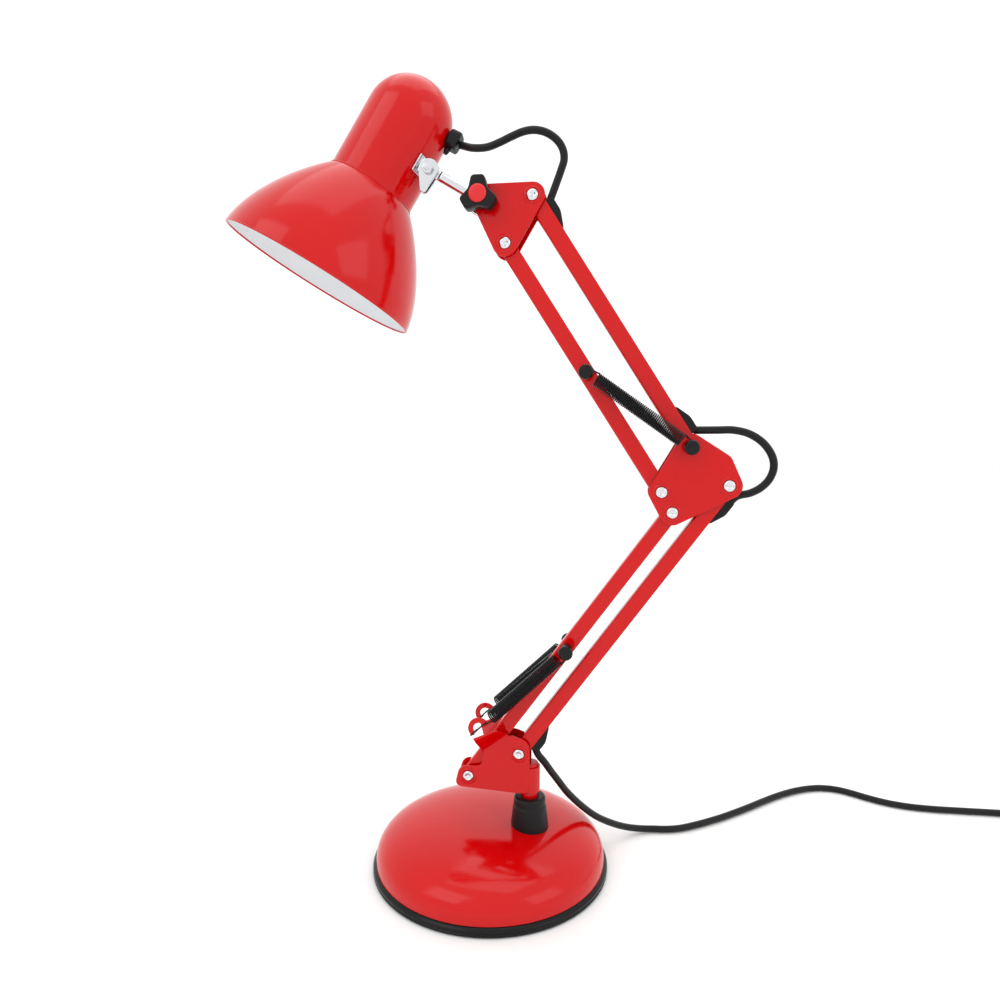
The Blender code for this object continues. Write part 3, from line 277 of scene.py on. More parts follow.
class Form:
    """Gathers point grids, in millimetres, into one closed mesh."""

    def __init__(self, name: str) -> None:
        """Starts an empty form with the piece's name."""
        self.name = name
        self.points: list[Array] = []
        self.faces: list[NDArray[np.int64]] = []
        self.count = 0

    def grid(self, points: Array) -> "Form":
        """Adds a grid of (rows, columns, 3) as quads; rows that meet in a point close to a pole."""
        rows, columns = points.shape[:2]
        index = self.count + np.arange(rows * columns).reshape(rows, columns)
        corners = [index[:-1, :-1], index[:-1, 1:], index[1:, 1:], index[1:, :-1]]
        self.faces.append(np.stack(corners, -1).reshape(-1, 4))
        self.points.append(points.reshape(-1, 3))
        self.count += rows * columns
        return self

    def sheet(self, outer: Array, inner: Array, wrapped: bool = False) -> "Form":
        """Adds a thick sheet from its two faces.

        Args:
            outer: Grid of one face.
            inner: Grid of the other, point for point.
            wrapped: Whether the first and last columns meet, and so need no border.

        Returns:
            The form.
        """
        self.grid(outer).grid(inner[:, ::-1])
        for row in (0, -1):
            self.grid(np.stack([outer[row], inner[row]]))
        if not wrapped:
            for column in (0, -1):
                self.grid(np.stack([outer[:, column], inner[:, column]]))
        return self

    def make(self, finish: "Finish", body: str | None, stands_for: Sequence[str] = (), sharp: float = 40.0,
             bevel: float = 0.0) -> bpy.types.Object:
        """Makes the mesh, gives it its finish and hangs it on its body.

        Args:
            finish: The piece's finish.
            body: The body it moves with, or None for a piece that is blended later.
            stands_for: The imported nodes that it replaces.
            sharp: Edges over this angle, in degrees, stay sharp.
            bevel: Width of a bevel on the sharp edges, or 0.

        Returns:
            The new object.
        """
        mesh = bpy.data.meshes.new(self.name)
        mesh.from_pydata(np.concatenate(self.points) * MM, [], np.concatenate(self.faces).tolist())
        shape = bmesh.new()
        shape.from_mesh(mesh)
        bmesh.ops.remove_doubles(shape, verts=shape.verts, dist=2e-6)
        bmesh.ops.recalc_face_normals(shape, faces=shape.faces)
        shape.to_mesh(mesh)
        shape.free()
        mesh.shade_smooth()
        mesh.set_sharp_from_angle(angle=math.radians(sharp))
        piece = bpy.data.objects.new(self.name, mesh)
        bpy.context.scene.collection.objects.link(piece)
        mesh.materials.append(finish.material())
        if bevel:
            soft = piece.modifiers.new("soft_edges", "BEVEL")
            soft.width = bevel * MM
            soft.segments = 2
            soft.limit_method = "ANGLE"
            soft.angle_limit = math.radians(sharp)
        if body:
            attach(piece, body)
        if stands_for:
            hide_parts(*stands_for)
        LOG.info("made %s in %s", self.name, finish.name)
        return piece


# ---------------------------------------------------------------- finishes


def linear(code: str) -> tuple[float, float, float, float]:
    """Turns an sRGB hex code such as #c81418 to linear colour with full alpha."""
    parts = np.array([int(code[i:i + 2], 16) for i in (1, 3, 5)]) / 255.0
    flat = np.where(parts <= 0.04045, parts / 12.92, ((parts + 0.055) / 1.055) ** 2.4)
    return (*flat.tolist(), 1.0)


def add_node(tree: bpy.types.NodeTree, kind: str, settings: dict | None = None,
             links: dict | None = None) -> bpy.types.Node:
    """Adds a node to a tree.

    Args:
        tree: The material's tree.
        kind: The node's type.
        settings: Values, by socket or by property name.
        links: Output sockets, by the input socket that each goes to.

    Returns:
        The new node.
    """
    node = tree.nodes.new(kind)
    for name, value in (settings or {}).items():
        if name in node.inputs:
            node.inputs[name].default_value = value
        else:
            setattr(node, name, value)
    for name, source in (links or {}).items():
        tree.links.new(source, node.inputs[name])
    return node


class Texture(Enum):
    """How a surface's fine relief runs."""

    EVEN = (1.0, 1.0, 1.0)
    DRAWN_ALONG_Y = (1.0, 0.06, 1.0)


@dataclass(frozen=True)
class Finish:
    """A real material with the way its surface was made.

    Colour drifts between two tones over tone_mm. Roughness wanders by rough_spread with the relief, which
    is grain_mm across and relief_mm deep. A second, coarser relief of wave_mm can stand under it.
    """

    name: str
    slot: str
    colour: str
    tone: str
    roughness: float
    rough_spread: float = 0.04
    metallic: float = 0.0
    ior: float = 1.5
    specular: float = 0.5
    coat: float = 0.0
    coat_roughness: float = 0.03
    # painted_glow: emission strength that paints a glow standing in for light scattered inside a part
    sheen: float = 0.0
    painted_glow: float = 0.0
    tone_mm: float = 40.0
    grain_mm: float = 0.6
    relief_mm: float = 0.01
    wave_mm: float = 8.0
    wave_relief_mm: float = 0.0
    texture: Texture = Texture.EVEN

    made: ClassVar[dict[str, bpy.types.Material]] = {}

    def material(self) -> bpy.types.Material:
        """Gives the finish's material, made the first time it is asked for."""
        if self.name not in Finish.made:
            Finish.made[self.name] = self.build()
        return Finish.made[self.name]

    def build(self) -> bpy.types.Material:
        """Builds the material's nodes on object coordinates, so that patterns keep their real size."""
        made = bpy.data.materials.new(self.name)
        made.use_nodes = True
        tree = made.node_tree
        shader = tree.nodes["Principled BSDF"]
        # Emission Strength and the warm Emission Color paint the glow set by painted_glow
        fixed = {"Metallic": self.metallic, "Specular IOR Level": self.specular, "Coat Weight": self.coat,
                 "Coat Roughness": self.coat_roughness, "Sheen Weight": self.sheen,
                 "Emission Strength": self.painted_glow, "Emission Color": linear("#fff6e6")}
        for socket, value in fixed.items():
            shader.inputs[socket].default_value = value
        if not self.metallic:
            shader.inputs["IOR"].default_value = self.ior
        place = add_node(tree, "ShaderNodeTexCoord").outputs["Object"]
        laid = add_node(tree, "ShaderNodeMapping", {"Scale": self.texture.value}, {"Vector": place})
        drift = add_node(tree, "ShaderNodeTexNoise", {"Scale": 1 / (self.tone_mm * MM), "Detail": 3.0},
                         {"Vector": place})
        mix = add_node(tree, "ShaderNodeMix", {"data_type": "RGBA"}, {"Factor": drift.outputs["Fac"]})
        mix.inputs[6].default_value = linear(self.colour)
        mix.inputs[7].default_value = linear(self.tone)
        tree.links.new(mix.outputs[2], shader.inputs["Base Color"])
        grain = add_node(tree, "ShaderNodeTexNoise", {"Scale": 1 / (self.grain_mm * MM), "Detail": 4.0},
                         {"Vector": laid.outputs["Vector"]})
        smudge = add_node(tree, "ShaderNodeTexNoise", {"Scale": 1 / (self.tone_mm * 0.3 * MM), "Detail": 5.0},
                          {"Vector": laid.outputs["Vector"]})
        smoothest = max(0.0, self.roughness - self.rough_spread)
        rough = add_node(tree, "ShaderNodeMapRange",
                         {"From Min": 0.3, "From Max": 0.7, "To Min": smoothest,
                          "To Max": self.roughness + self.rough_spread}, {"Value": smudge.outputs["Fac"]})
        tree.links.new(rough.outputs["Result"], shader.inputs["Roughness"])
        wave = add_node(tree, "ShaderNodeTexNoise", {"Scale": 1 / (self.wave_mm * MM), "Detail": 1.0},
                        {"Vector": place})
        under = add_node(tree, "ShaderNodeBump", {"Strength": 1.0, "Distance": self.wave_relief_mm * MM},
                         {"Height": wave.outputs["Fac"]})
        fine = add_node(tree, "ShaderNodeBump", {"Strength": 1.0, "Distance": self.relief_mm * MM},
                        {"Height": grain.outputs["Fac"], "Normal": under.outputs["Normal"]})
        tree.links.new(fine.outputs["Normal"], shader.inputs["Normal"])
        return made


# Sprayed and baked enamel: deep red under a clear gloss, with a faint orange-peel ripple in reflections
RED_ENAMEL = Finish("stoved_red_enamel", "red_enamel", "#c60003", "#be0002", 0.15, 0.04, specular=0.3,
                    coat=0.05, grain_mm=0.5, relief_mm=0.0006, wave_mm=2.6, wave_relief_mm=0.004)
# White enamel inside the shade: satin and slightly cool, so it spreads light evenly
WHITE_ENAMEL = Finish("stoved_white_enamel", "white_enamel", "#e6e9ec", "#dfe2e6", 0.38, coat=0.2,
                      coat_roughness=0.2, wave_mm=3.0, wave_relief_mm=0.004, relief_mm=0.001)
# Moulded white plastic of the holder: even, soft gloss
WHITE_PLASTIC = Finish("moulded_white_plastic", "white_enamel", "#ece9e0", "#e4e0d5", 0.4, grain_mm=0.4,
                       relief_mm=0.004)
# Nickel and chrome plate: mirror-bright, with faint wiping marks
CHROME = Finish("chrome_plate", "chrome", "#dadcdf", "#d0d3d7", 0.07, 0.04, metallic=1.0, tone_mm=12.0,
                grain_mm=0.3, relief_mm=0.0004)
# Injection-moulded black plastic: fine spark-eroded grain that breaks its highlight
BLACK_PLASTIC = Finish("moulded_black_plastic", "black_plastic", "#0e0e10", "#131315", 0.36, 0.06,
                       specular=0.22, grain_mm=0.35, relief_mm=0.008)
# The base's edge ring: smoother black moulding with a sharper highlight
BLACK_GLOSS = Finish("polished_black_moulding", "black_plastic", "#070708", "#0c0c0d", 0.24, 0.05,
                     specular=0.22, grain_mm=0.4, relief_mm=0.002)
# Extruded flex jacket: soft satin vinyl with slight drag marks
BLACK_VINYL = Finish("extruded_black_vinyl", "black_flex", "#0c0c0d", "#121214", 0.42, 0.08,
                     specular=0.22, sheen=0.05, tone_mm=18.0, grain_mm=0.5, relief_mm=0.01)
# Oil-blackened spring wire: dark, metallic, with brighter rubbed coils
SPRING_STEEL = Finish("blackened_spring_wire", "spring_steel", "#101012", "#1a1a1d", 0.28, 0.08,
                      metallic=0.7, tone_mm=3.0, grain_mm=0.2, relief_mm=0.003)
# Sand-cast iron: dull grey with coarse grains of sand
CAST_IRON = Finish("sand_cast_iron", "cast_iron", "#4b4a49", "#3c3b3a", 0.72, 0.1, metallic=0.8,
                   tone_mm=9.0, grain_mm=0.8, relief_mm=0.12)
# Foam rubber pad: black, open and dull
FOAM = Finish("foam_rubber", "black_foam", "#1b1b1c", "#242425", 0.92, 0.04, sheen=0.2, grain_mm=0.5,
              relief_mm=0.08)
# Zinc-plated steel: grey, drawn along the part's own length
ZINC = Finish("bright_zinc_plate", "zinc_steel", "#b9bab6", "#a6a9a6", 0.34, 0.08, metallic=1.0,
              tone_mm=6.0, grain_mm=0.5, relief_mm=0.004, texture=Texture.DRAWN_ALONG_Y)
# Flashed opal glass: milky and smooth, with a faint warm painted glow standing in for the light it scatters
# within
OPAL_GLASS = Finish("opal_glass", "opal_glass", "#f3f1ea", "#ece8de", 0.12, 0.03, coat=0.6, painted_glow=0.03,
                    wave_relief_mm=0.002, relief_mm=0.0)
# Moulded red plastic of the knob's cap: even, semi-gloss
RED_PLASTIC = Finish("moulded_red_plastic", "red_plastic", "#d81219", "#c90e14", 0.3, grain_mm=0.35,
                     relief_mm=0.004)


# ---------------------------------------------------------------- base


@dataclass
class Base:
    """The weighted base: domed sheet cover, edge ring, collar and what is under them."""

    ring_radius: float = 90.0
    ring_inner: float = 81.5
    ring_height: float = 6.6
    dome_radius: float = 87.5
    dome_top: float = 39.0
    exponent: float = 2.6
    wall: float = 1.2

    def dome_profile(self, radius: float, top: float, rows: int) -> Array:
        """A superellipse: height = foot + rise (1 - (r / R)^n)^(1 / n), with rows crowded at the shoulder."""
        share = np.sin(np.linspace(0.0, math.pi / 2, rows))
        foot = self.ring_height + 0.3
        height = foot + (top - foot) * (1 - share ** self.exponent) ** (1 / self.exponent)
        return np.stack([share * radius, height], -1)

    def build(self) -> None:
        """Builds the base's pieces."""
        outer = self.dome_profile(self.dome_radius, self.dome_top, 64)
        inner = self.dome_profile(self.dome_radius - self.wall, self.dome_top - self.wall, 64)
        dome = closed_loop(np.concatenate([outer, inner[::-1]]))
        Form("dome_cover").grid(revolve(dome, (0, 0, 0), (0, 0, 1), 160)).make(
            RED_ENAMEL, "base", ["base_shell"])
        out, top, low = self.ring_radius, self.ring_height, self.ring_inner
        ring = fillet([(out - 2.0, top), (out, top - 1.8), (out, 3.4), (out - 0.5, 3.0), (out - 0.5, 2.5),
                       (out, 2.1), (out, 0.8), (out - 1.4, 0.0), (low, 0.0), (low, top - 1.6),
                       (low + 3.4, top)], 0.9, 4, closed=True)
        Form("edge_ring").grid(revolve(closed_loop(ring), (0, 0, 0), (0, 0, 1), 160)).make(
            BLACK_GLOSS, "base", ["base_ring"])
        self.collar()
        for node, finish in (("base_pad", FOAM), ("base_ballast", CAST_IRON)):
            dress(node, finish)

    def collar(self) -> None:
        """Turns the tapered collar, with a rolled lip and a foot that spreads onto the dome."""
        bore = 6.6
        outline = fillet([(bore, 61.0), (10.9, 61.0), (11.9, 59.6), (12.0, 54.6), (12.5, 54.0), (14.0, 39.0),
                          (14.4, 33.0), (14.4, 26.0), (17.5, 26.0), (17.5, 23.0), (bore, 23.0)],
                         1.0, 5, closed=True)
        Form("collar_body").grid(revolve(closed_loop(outline), (*POST, 0), (0, 0, 1), 72)).make(
            BLACK_PLASTIC, "base", ["collar"])


def dress(node: str, finish: Finish) -> None:
    """Gives a carried-over node its finish."""
    item = frame["nodes"][node]
    item.data.materials.clear()
    item.data.materials.append(finish.material())
    item.data.shade_smooth()
    item.data.set_sharp_from_angle(angle=math.radians(35.0))
    LOG.info("dressed %s in %s", node, finish.name)


# ---------------------------------------------------------------- swivel bracket


@dataclass
class SwivelBracket:
    """The folded sheet bracket on its post, with two hooks for the lower springs."""

    inner: float = SHEET_INNER
    outer: float = SHEET_OUTER
    rim: float = 15.0
    edge: float = 0.3
    hook_centre: tuple[float, float] = (-4.5, 116.8)

    def build(self) -> None:
        """Builds the bracket and its post, and gives the post's clip its finish."""
        form = Form("bracket_folded_sheet")
        right = POST[0] + 0.6
        corners = [(-24.6, 67.8), (right, 64.8), (right, 105.0), (16.2, 110.6), (-3.2, 95.4), (-3.4, 84.4),
                   (-20.6, 84.2)]
        outline = resample(closed_loop(fillet(corners, 6.0, 8, closed=True)), 1.2)[:-1]
        for side in (-1, 1):
            low, high = sorted((side * self.inner, side * self.outer))
            form.grid(plate(outline, (6.0, 80.0), low, high, self.edge))
            self.tab(form, side)
        self.wrap(form)
        form.make(RED_ENAMEL, "swivel", ["base_bracket"], bevel=0.2)
        post = fillet([(0.0, 87.0), (6.25, 87.0), (6.25, 18.0), (0.0, 18.0)], 0.6, 4)
        Form("post_tube").grid(revolve(post, (*POST, 0), (0, 0, 1), 48)).make(
            RED_ENAMEL, "swivel", ["swivel_post"])
        dress("post_clip", ZINC)

    def wrap(self, form: Form) -> None:
        """Adds the half-round wrap about the post: two arcs, one wall apart, from front to rear."""
        angle = np.radians(np.linspace(-90.0, 90.0, 33))
        height = np.linspace(65.2, 84.5, 5)
        faces = []
        for radius in (self.outer, self.inner):
            ring = POST + radius * np.stack([np.cos(angle), np.sin(angle)], -1)
            tall = np.broadcast_to(ring, (len(height), *ring.shape))
            levels = np.broadcast_to(height[:, None, None], (*tall.shape[:2], 1))
            faces.append(np.concatenate([tall, levels], -1))
        form.sheet(faces[0], faces[1])

    def tab(self, form: Form, side: int) -> None:
        """Adds a tab that steps outwards from the side plate, and the open hook at its end.

        The tab is ruled between its fold and its edge, and its depth follows 3s^2 - 2s^3 between them. The
        hook is a flat strip swept along an arc, narrowing to a rounded tip.

        Args:
            form: The bracket's form.
            side: -1 in front, 1 behind.
        """
        thick = self.outer - self.inner
        fold = np.array([(16.0, 109.6), (-2.6, 94.6)])
        edge = np.array([(8.6, 116.2), (-8.8, 108.6)])
        share = np.linspace(0.0, 1.0, 13)[:, None, None]
        across = np.linspace(0.0, 1.0, 9)[None, :, None]
        line = ((1 - share) * (fold[0] + (fold[1] - fold[0]) * across)
                + share * (edge[0] + (edge[1] - edge[0]) * across))
        step = (3 * share ** 2 - 2 * share ** 3)[..., 0]
        middle = side * ((self.inner + self.outer) / 2 * (1 - step) + self.rim * step)
        form.sheet(on_plane(line, middle - thick / 2), on_plane(line, middle + thick / 2))
        angle = np.radians(np.linspace(20.0, 236.0, 45))
        spoke = np.stack([np.cos(angle), np.sin(angle)], -1)
        tip = np.clip((np.degrees(angle) - 206.0) / 30.0, 0.0, 1.0)
        half = 1.9 * np.sqrt(np.maximum(0.02, 1 - tip ** 2))[:, None]
        lobes = [np.asarray(self.hook_centre) + spoke * (6.1 + sign * half) for sign in (1, -1)]
        strip = np.stack([lobes[0] + (lobes[1] - lobes[0]) * s for s in np.linspace(0, 1, 5)], 1)
        rim = side * self.rim
        form.sheet(on_plane(strip, rim - thick / 2), on_plane(strip, rim + thick / 2))


# ---------------------------------------------------------------- fasteners


@dataclass
class Rivet:
    """A tubular rivet: dished heads in raised, pressed rings of the sheet."""

    name: str
    node: str
    body: str
    centre: Array
    seat: float = 8.05
    top: float = 9.3
    radius: float = 3.9
    shank: float = 2.1

    def build(self) -> None:
        """Turns the rivet and the ring under each head."""
        top, seat = self.top, self.seat
        half = fillet([(0.0, top - 0.9), (1.3, top - 0.9), (2.2, top - 0.1), (2.9, top),
                       (self.radius, seat + 0.55), (self.radius, seat + 0.05), (self.shank, seat)], 0.5, 4)
        profile = np.concatenate([half, half[::-1] * [1, -1]])
        origin = on_plane(self.centre[None])[0]
        Form(self.name).grid(revolve(profile, origin, (0, -1, 0), 40)).make(CHROME, self.body, [self.node])
        rings = Form(self.name + "_pressed_rings")
        for side in (-1, 1):
            ring = fillet([(4.15, 7.75), (4.15, 8.0), (4.7, 8.35), (5.5, 8.35), (6.5, 7.75)],
                          0.5, 4, closed=True)
            rings.grid(revolve(closed_loop(ring * [1, side]), origin, (0, 1, 0), 40))
        rings.make(RED_ENAMEL, self.body)


@dataclass
class Peg:
    """A black spring peg: headed necks for the spring loops on sleeves beside the link."""

    name: str
    node: str
    body: str
    centre: Array
    bearing: float
    both_ends: bool

    def build(self) -> None:
        """Turns the peg; its long end is in front."""
        neck, head = 13.4, 16.6
        long_end = fillet([(0.0, head + 2.8), (4.2, head + 2.8), (5.2, head + 1.6), (5.2, head),
                           (2.6, head - 0.1), (2.6, neck + 0.1), (4.0, neck), (4.0, self.bearing),
                           (2.1, self.bearing)], 0.7, 4)
        short_end = fillet([(0.0, self.bearing + 2.2), (3.4, self.bearing + 2.1), (4.0, self.bearing + 1.4),
                            (4.0, self.bearing), (2.1, self.bearing)], 0.6, 4)
        far = long_end if self.both_ends else short_end
        profile = np.concatenate([far, long_end[::-1] * [1, -1]])
        Form(self.name).grid(revolve(profile, on_plane(self.centre[None])[0], (0, 1, 0), 40)).make(
            BLACK_PLASTIC, self.body, [self.node])


# ---------------------------------------------------------------- arms


@dataclass
class ChannelLink:
    """A pressed channel link, open along its outer side, with rounded ends."""

    name: str
    node: str
    body: str
    start: Array
    end: Array
    width: float
    depth: float = 10.0
    wall: float = 1.1
    bend: float = 1.7

    def build(self) -> None:
        """Carries a U section along the link; its half width is sqrt(R^2 - s^2) past each pivot."""
        length = float(np.linalg.norm(self.end - self.start))
        radius = self.width / 2
        cap = radius * np.sin(np.linspace(-math.pi / 2 * 0.93, 0.0, 15))
        along = np.concatenate([cap, np.linspace(0, length, 30)[1:-1], length - cap[::-1]])
        past = np.maximum(0.0, np.maximum(-along, along - length))
        half = np.sqrt(radius ** 2 - past ** 2)
        faces = [self.face(along, half, inset) for inset in (0.0, self.wall)]
        Form(self.name).sheet(faces[0], faces[1]).make(
            RED_ENAMEL, self.body, [self.node], sharp=50.0, bevel=0.28)

    def face(self, along: Array, half: Array, inset: float) -> Array:
        """Gives the U's outer face, or its inner one, set in by the wall.

        Args:
            along: Stations from the first pivot.
            half: The link's half width at each.
            inset: 0 for the outer face, the wall for the inner one.

        Returns:
            A grid of (stations, section, 3).
        """
        deep, bend = self.depth / 2 - inset, self.bend - inset
        turn = np.linspace(0.0, math.pi / 2, 7)
        side = 1 - np.sin(turn)
        out = np.linspace(0.25, 1.0, 4)
        across = np.concatenate([out[::-1], np.zeros(14), out])
        curl = np.concatenate([np.zeros(4), bend * side, bend * side[::-1], np.zeros(4)])
        fall = np.concatenate([np.full(4, -deep), -deep + bend * (1 - np.cos(turn)),
                               deep - bend * (1 - np.cos(turn))[::-1], np.full(4, deep)])
        low = -half[:, None] + inset + np.minimum(self.bend - inset, half[:, None] * 0.4)
        place = low + (half[:, None] - low) * across
        place = np.where(across > 0, place, -half[:, None] + inset + np.minimum(curl, half[:, None] * 0.4))
        ex = (self.end - self.start) / np.linalg.norm(self.end - self.start)
        ez = np.array([ex[1], -ex[0]])
        points = self.start + along[:, None, None] * ex + place[..., None] * ez
        return on_plane(points, np.broadcast_to(fall, points.shape[:2]))


def link_point(start: Array, end: Array, along: Array | float, across: float) -> Array:
    """Gives points along a link from its start pivot, moved to the right of the way to its end."""
    ex = (end - start) / np.linalg.norm(end - start)
    return start + along * ex + across * np.array([ex[1], -ex[0]])


@dataclass
class FlexClip:
    """A black clip pressed into a link's open side, through which the flex passes a pivot."""

    name: str
    node: str
    body: str
    start: Array
    end: Array
    width: float
    side: int
    first: float = 7.0
    last: float = 29.0
    slope: float = 11.0
    heel: float = 2.4
    half_depth: float = 3.5
    across: float = 8.2

    def build(self) -> None:
        """Makes the clip as a plate with well rounded edges."""
        near = self.side * (self.width / 2 - 1.4)
        far = self.side * (self.across + FLEX_RADIUS + 0.3)
        stops = [(self.first, near), (self.first, far), (self.last - self.slope, far),
                 (self.last, near + self.side * self.heel), (self.last, near)]
        corners = np.array([link_point(self.start, self.end, along, across) for along, across in stops])
        outline = resample(closed_loop(fillet(corners, 2.0, 6, closed=True)), 0.8)[:-1]
        Form(self.name).grid(plate(outline, outline.mean(0), -self.half_depth, self.half_depth, 1.1)).make(
            BLACK_PLASTIC, self.body, [self.node])


@dataclass
class Spring:
    """A tension spring: close coils, a loop about its peg and a wire to its anchor."""

    name: str
    node: str
    bodies: tuple[str, str]
    peg: Array
    anchor: Array
    side: int
    anchor_is_peg: bool
    offset: float = 15.0
    radius: float = 4.45
    wire: float = 0.58
    pitch: float = 1.4
    eye_reach: float = 8.5
    hook_reach: float = 13.0

    def build(self) -> None:
        """Winds the coils: point = axis + radius (cos a across + sin a depth), rising one pitch a turn."""
        heading = (self.anchor - self.peg) / np.linalg.norm(self.anchor - self.peg)
        length = float(np.linalg.norm(self.anchor - self.peg))
        lead, tail = self.eye_reach, (self.eye_reach if self.anchor_is_peg else self.hook_reach)
        across = np.array([-heading[1], heading[0]])
        turns = round((length - lead - tail) / self.pitch)
        angle = np.linspace(0.0, FULL_TURN * turns, turns * 22 + 1)
        station = lead + (length - lead - tail) * angle / angle[-1]
        flat = self.peg + station[:, None] * heading + self.radius * np.cos(angle)[:, None] * across
        coil = on_plane(flat, self.side * self.offset + self.radius * np.sin(angle))
        first = self.eye(self.peg, heading, lead, across)
        if self.anchor_is_peg:
            last = self.eye(self.anchor, -heading, tail, across)[::-1]
        else:
            last = self.hook(heading, tail, across)
        path = resample(np.concatenate([first[:-1], coil, last[1:]]), 1.1)
        piece = Form(self.name).grid(tube(path, self.wire, 8)).make(
            SPRING_STEEL, None, [self.node], sharp=60.0)
        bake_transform(piece)

    def eye(self, centre: Array, towards: Array, reach: float, across: Array) -> Array:
        """Bends the open loop about a peg's neck, ending where the coils start.

        Args:
            centre: The peg's centre.
            towards: Direction of the coils from it.
            reach: Distance to the first coil.
            across: The direction in which the coils start.

        Returns:
            Points of (n, 3).
        """
        ring = 2.6 + self.wire + 0.4
        base = math.degrees(math.atan2(towards[1], towards[0]))
        handed = 1.0 if float(across @ np.array([-towards[1], towards[0]])) > 0 else -1.0
        loop = arc(centre, ring, base - handed * 20.0, base - handed * 270.0, 30)
        start = centre + towards * reach + across * self.radius
        halfway = centre + towards * (reach * 0.55) + across * (ring + 0.2)
        bridge = smooth_path([loop[-1], halfway, start], 0.6)
        return on_plane(np.concatenate([loop[:-1], bridge]), self.side * self.offset)

    def hook(self, heading: Array, tail: float, across: Array) -> Array:
        """Bends the wire from the last coil to a small loop about the bracket's hook."""
        start = self.anchor - heading * tail + across * self.radius
        outside = self.side * (self.offset + 1.35)
        inside = self.side * (self.offset - 1.35)
        plane = self.side * self.offset
        stops = [(*start, plane), (*(self.anchor - heading * (tail - 3.0) + across * 1.6), outside),
                 (*(self.anchor - heading * 3.0), outside), (*(self.anchor + heading * 4.6), outside),
                 (*(self.anchor + heading * 8.9), plane), (*(self.anchor + heading * 5.0), inside),
                 (*(self.anchor + heading * 2.2), inside)]
        route = smooth_path(stops, 0.6)
        return on_plane(route[:, :2], route[:, 2])


@dataclass
class PlatePair:
    """Two flat plates that hold the arms between them.

    Their outline is a band stretched around circles, each given by its centre and radius.
    """

    names: tuple[str, str]
    nodes: tuple[str, str]
    body: str
    circles: tuple[tuple[float, float, float], ...]

    def outline(self) -> Array:
        """Stretches the band: along each direction u, c + r u of the circle with the largest c.u + r."""
        circles = np.array(self.circles)
        angle = np.linspace(0.0, FULL_TURN, 361)
        way = np.stack([np.cos(angle), np.sin(angle)], -1)
        first = np.argmax(way @ circles[:, :2].T + circles[:, 2], axis=1)
        points = circles[first, :2] + circles[first, 2:] * way
        return resample(points, 1.0)[:-1]

    def build(self) -> None:
        """Makes the front plate and the rear one."""
        outline = self.outline()
        for name, node, side in zip(self.names, self.nodes, (-1, 1)):
            low, high = sorted((side * SHEET_INNER, side * SHEET_OUTER))
            Form(name).grid(plate(outline, outline.mean(0), low, high, 0.3)).make(
                RED_ENAMEL, self.body, [node])


# ---------------------------------------------------------------- knob and stem


@dataclass
class Knob:
    """The three-lobed clamp knob, its cap, its bolt and its washers."""

    reach: float = 12.7
    half_lobe: float = 4.6
    waist: float = 7.6
    back: float = 9.0
    front: float = 19.6

    def build(self) -> None:
        """Moulds the knob: three flat-ended lobes with hollows between them, and rounded edges."""
        corners = []
        for angle in (math.radians(90.0), math.radians(210.0), math.radians(330.0)):
            ahead = np.array([math.cos(angle), math.sin(angle)])
            left = np.array([-ahead[1], ahead[0]])
            hollow = angle + math.pi / 3
            corners += [KNOB + self.reach * ahead - self.half_lobe * left,
                        KNOB + self.reach * ahead + self.half_lobe * left,
                        KNOB + self.waist * np.array([math.cos(hollow), math.sin(hollow)])]
        outline = resample(closed_loop(fillet(corners, 2.6, 8, closed=True)), 0.7)[:-1]
        Form("lobed_grip").grid(plate(outline, KNOB, -self.front, -self.back, 1.3)).make(
            BLACK_PLASTIC, "knob", ["knob"])
        origin = on_plane(KNOB[None])[0]
        cap = fillet([(0.0, self.front + 1.9), (4.9, self.front + 1.7), (6.2, self.front + 0.9),
                      (6.2, self.front + 0.05), (0.0, self.front + 0.05)], 0.6, 5)
        Form("grip_cap").grid(revolve(cap, origin, (0, -1, 0), 56)).make(RED_PLASTIC, "knob", ["knob_cap"])
        for node in ("knob_bolt", "clamp_washer_front", "clamp_washer_rear"):
            dress(node, ZINC)


@dataclass
class Stem:
    """The chrome rod with a flattened eye at each end."""

    rod: float = 3.5
    eye: float = 10.5
    tip: float = 5.4
    flat: float = 1.5

    def build(self) -> None:
        """Carries a rounded section along the stem.

        Its half width is the largest of the rod's and of each eye's circle, and its half depth falls from
        the rod's to the flat's at the eyes.
        """
        length = float(np.linalg.norm(LUG - KNOB))
        ends = np.sin(np.linspace(-math.pi / 2, 0.0, 18)[1:])
        s = np.unique(np.concatenate([self.eye * ends, np.linspace(0, length, 90), length - self.tip * ends]))
        first = np.sqrt(np.maximum(0.0, self.eye ** 2 - s ** 2))
        last = np.sqrt(np.maximum(0.0, self.tip ** 2 - (s - length) ** 2))
        inner = (s > 0) & (s < length)
        width = np.maximum(np.maximum(first, last), np.where(inner, self.rod, 0.15))
        into = np.clip((s - self.eye + 0.5) / 2.5, 0, 1) * np.clip((length - 8.4 - s) / 2.5, 0, 1)
        deep = self.flat + (self.rod - self.flat) * (3 * into ** 2 - 2 * into ** 3)
        power = (4.0 - 2.0 * into)[:, None]
        angle = np.linspace(0.0, FULL_TURN, 49)[None, :]
        cosine, sine = np.cos(angle), np.sin(angle)
        across = width[:, None] * np.sign(cosine) * np.abs(cosine) ** (2 / power)
        depth = deep[:, None] * np.sign(sine) * np.abs(sine) ** (2 / power)
        ex = (LUG - KNOB) / length
        ez = np.array([-ex[1], ex[0]])
        rings = on_plane(KNOB + s[:, None, None] * ex + across[..., None] * ez, depth)
        ends = [np.repeat(rings[i].mean(0)[None, None], 49, 1) for i in (0, -1)]
        Form("stem_rod").grid(np.concatenate([ends[0], rings, ends[1]])).make(
            CHROME, "stem", ["head_stem"], sharp=55.0)


# ---------------------------------------------------------------- head


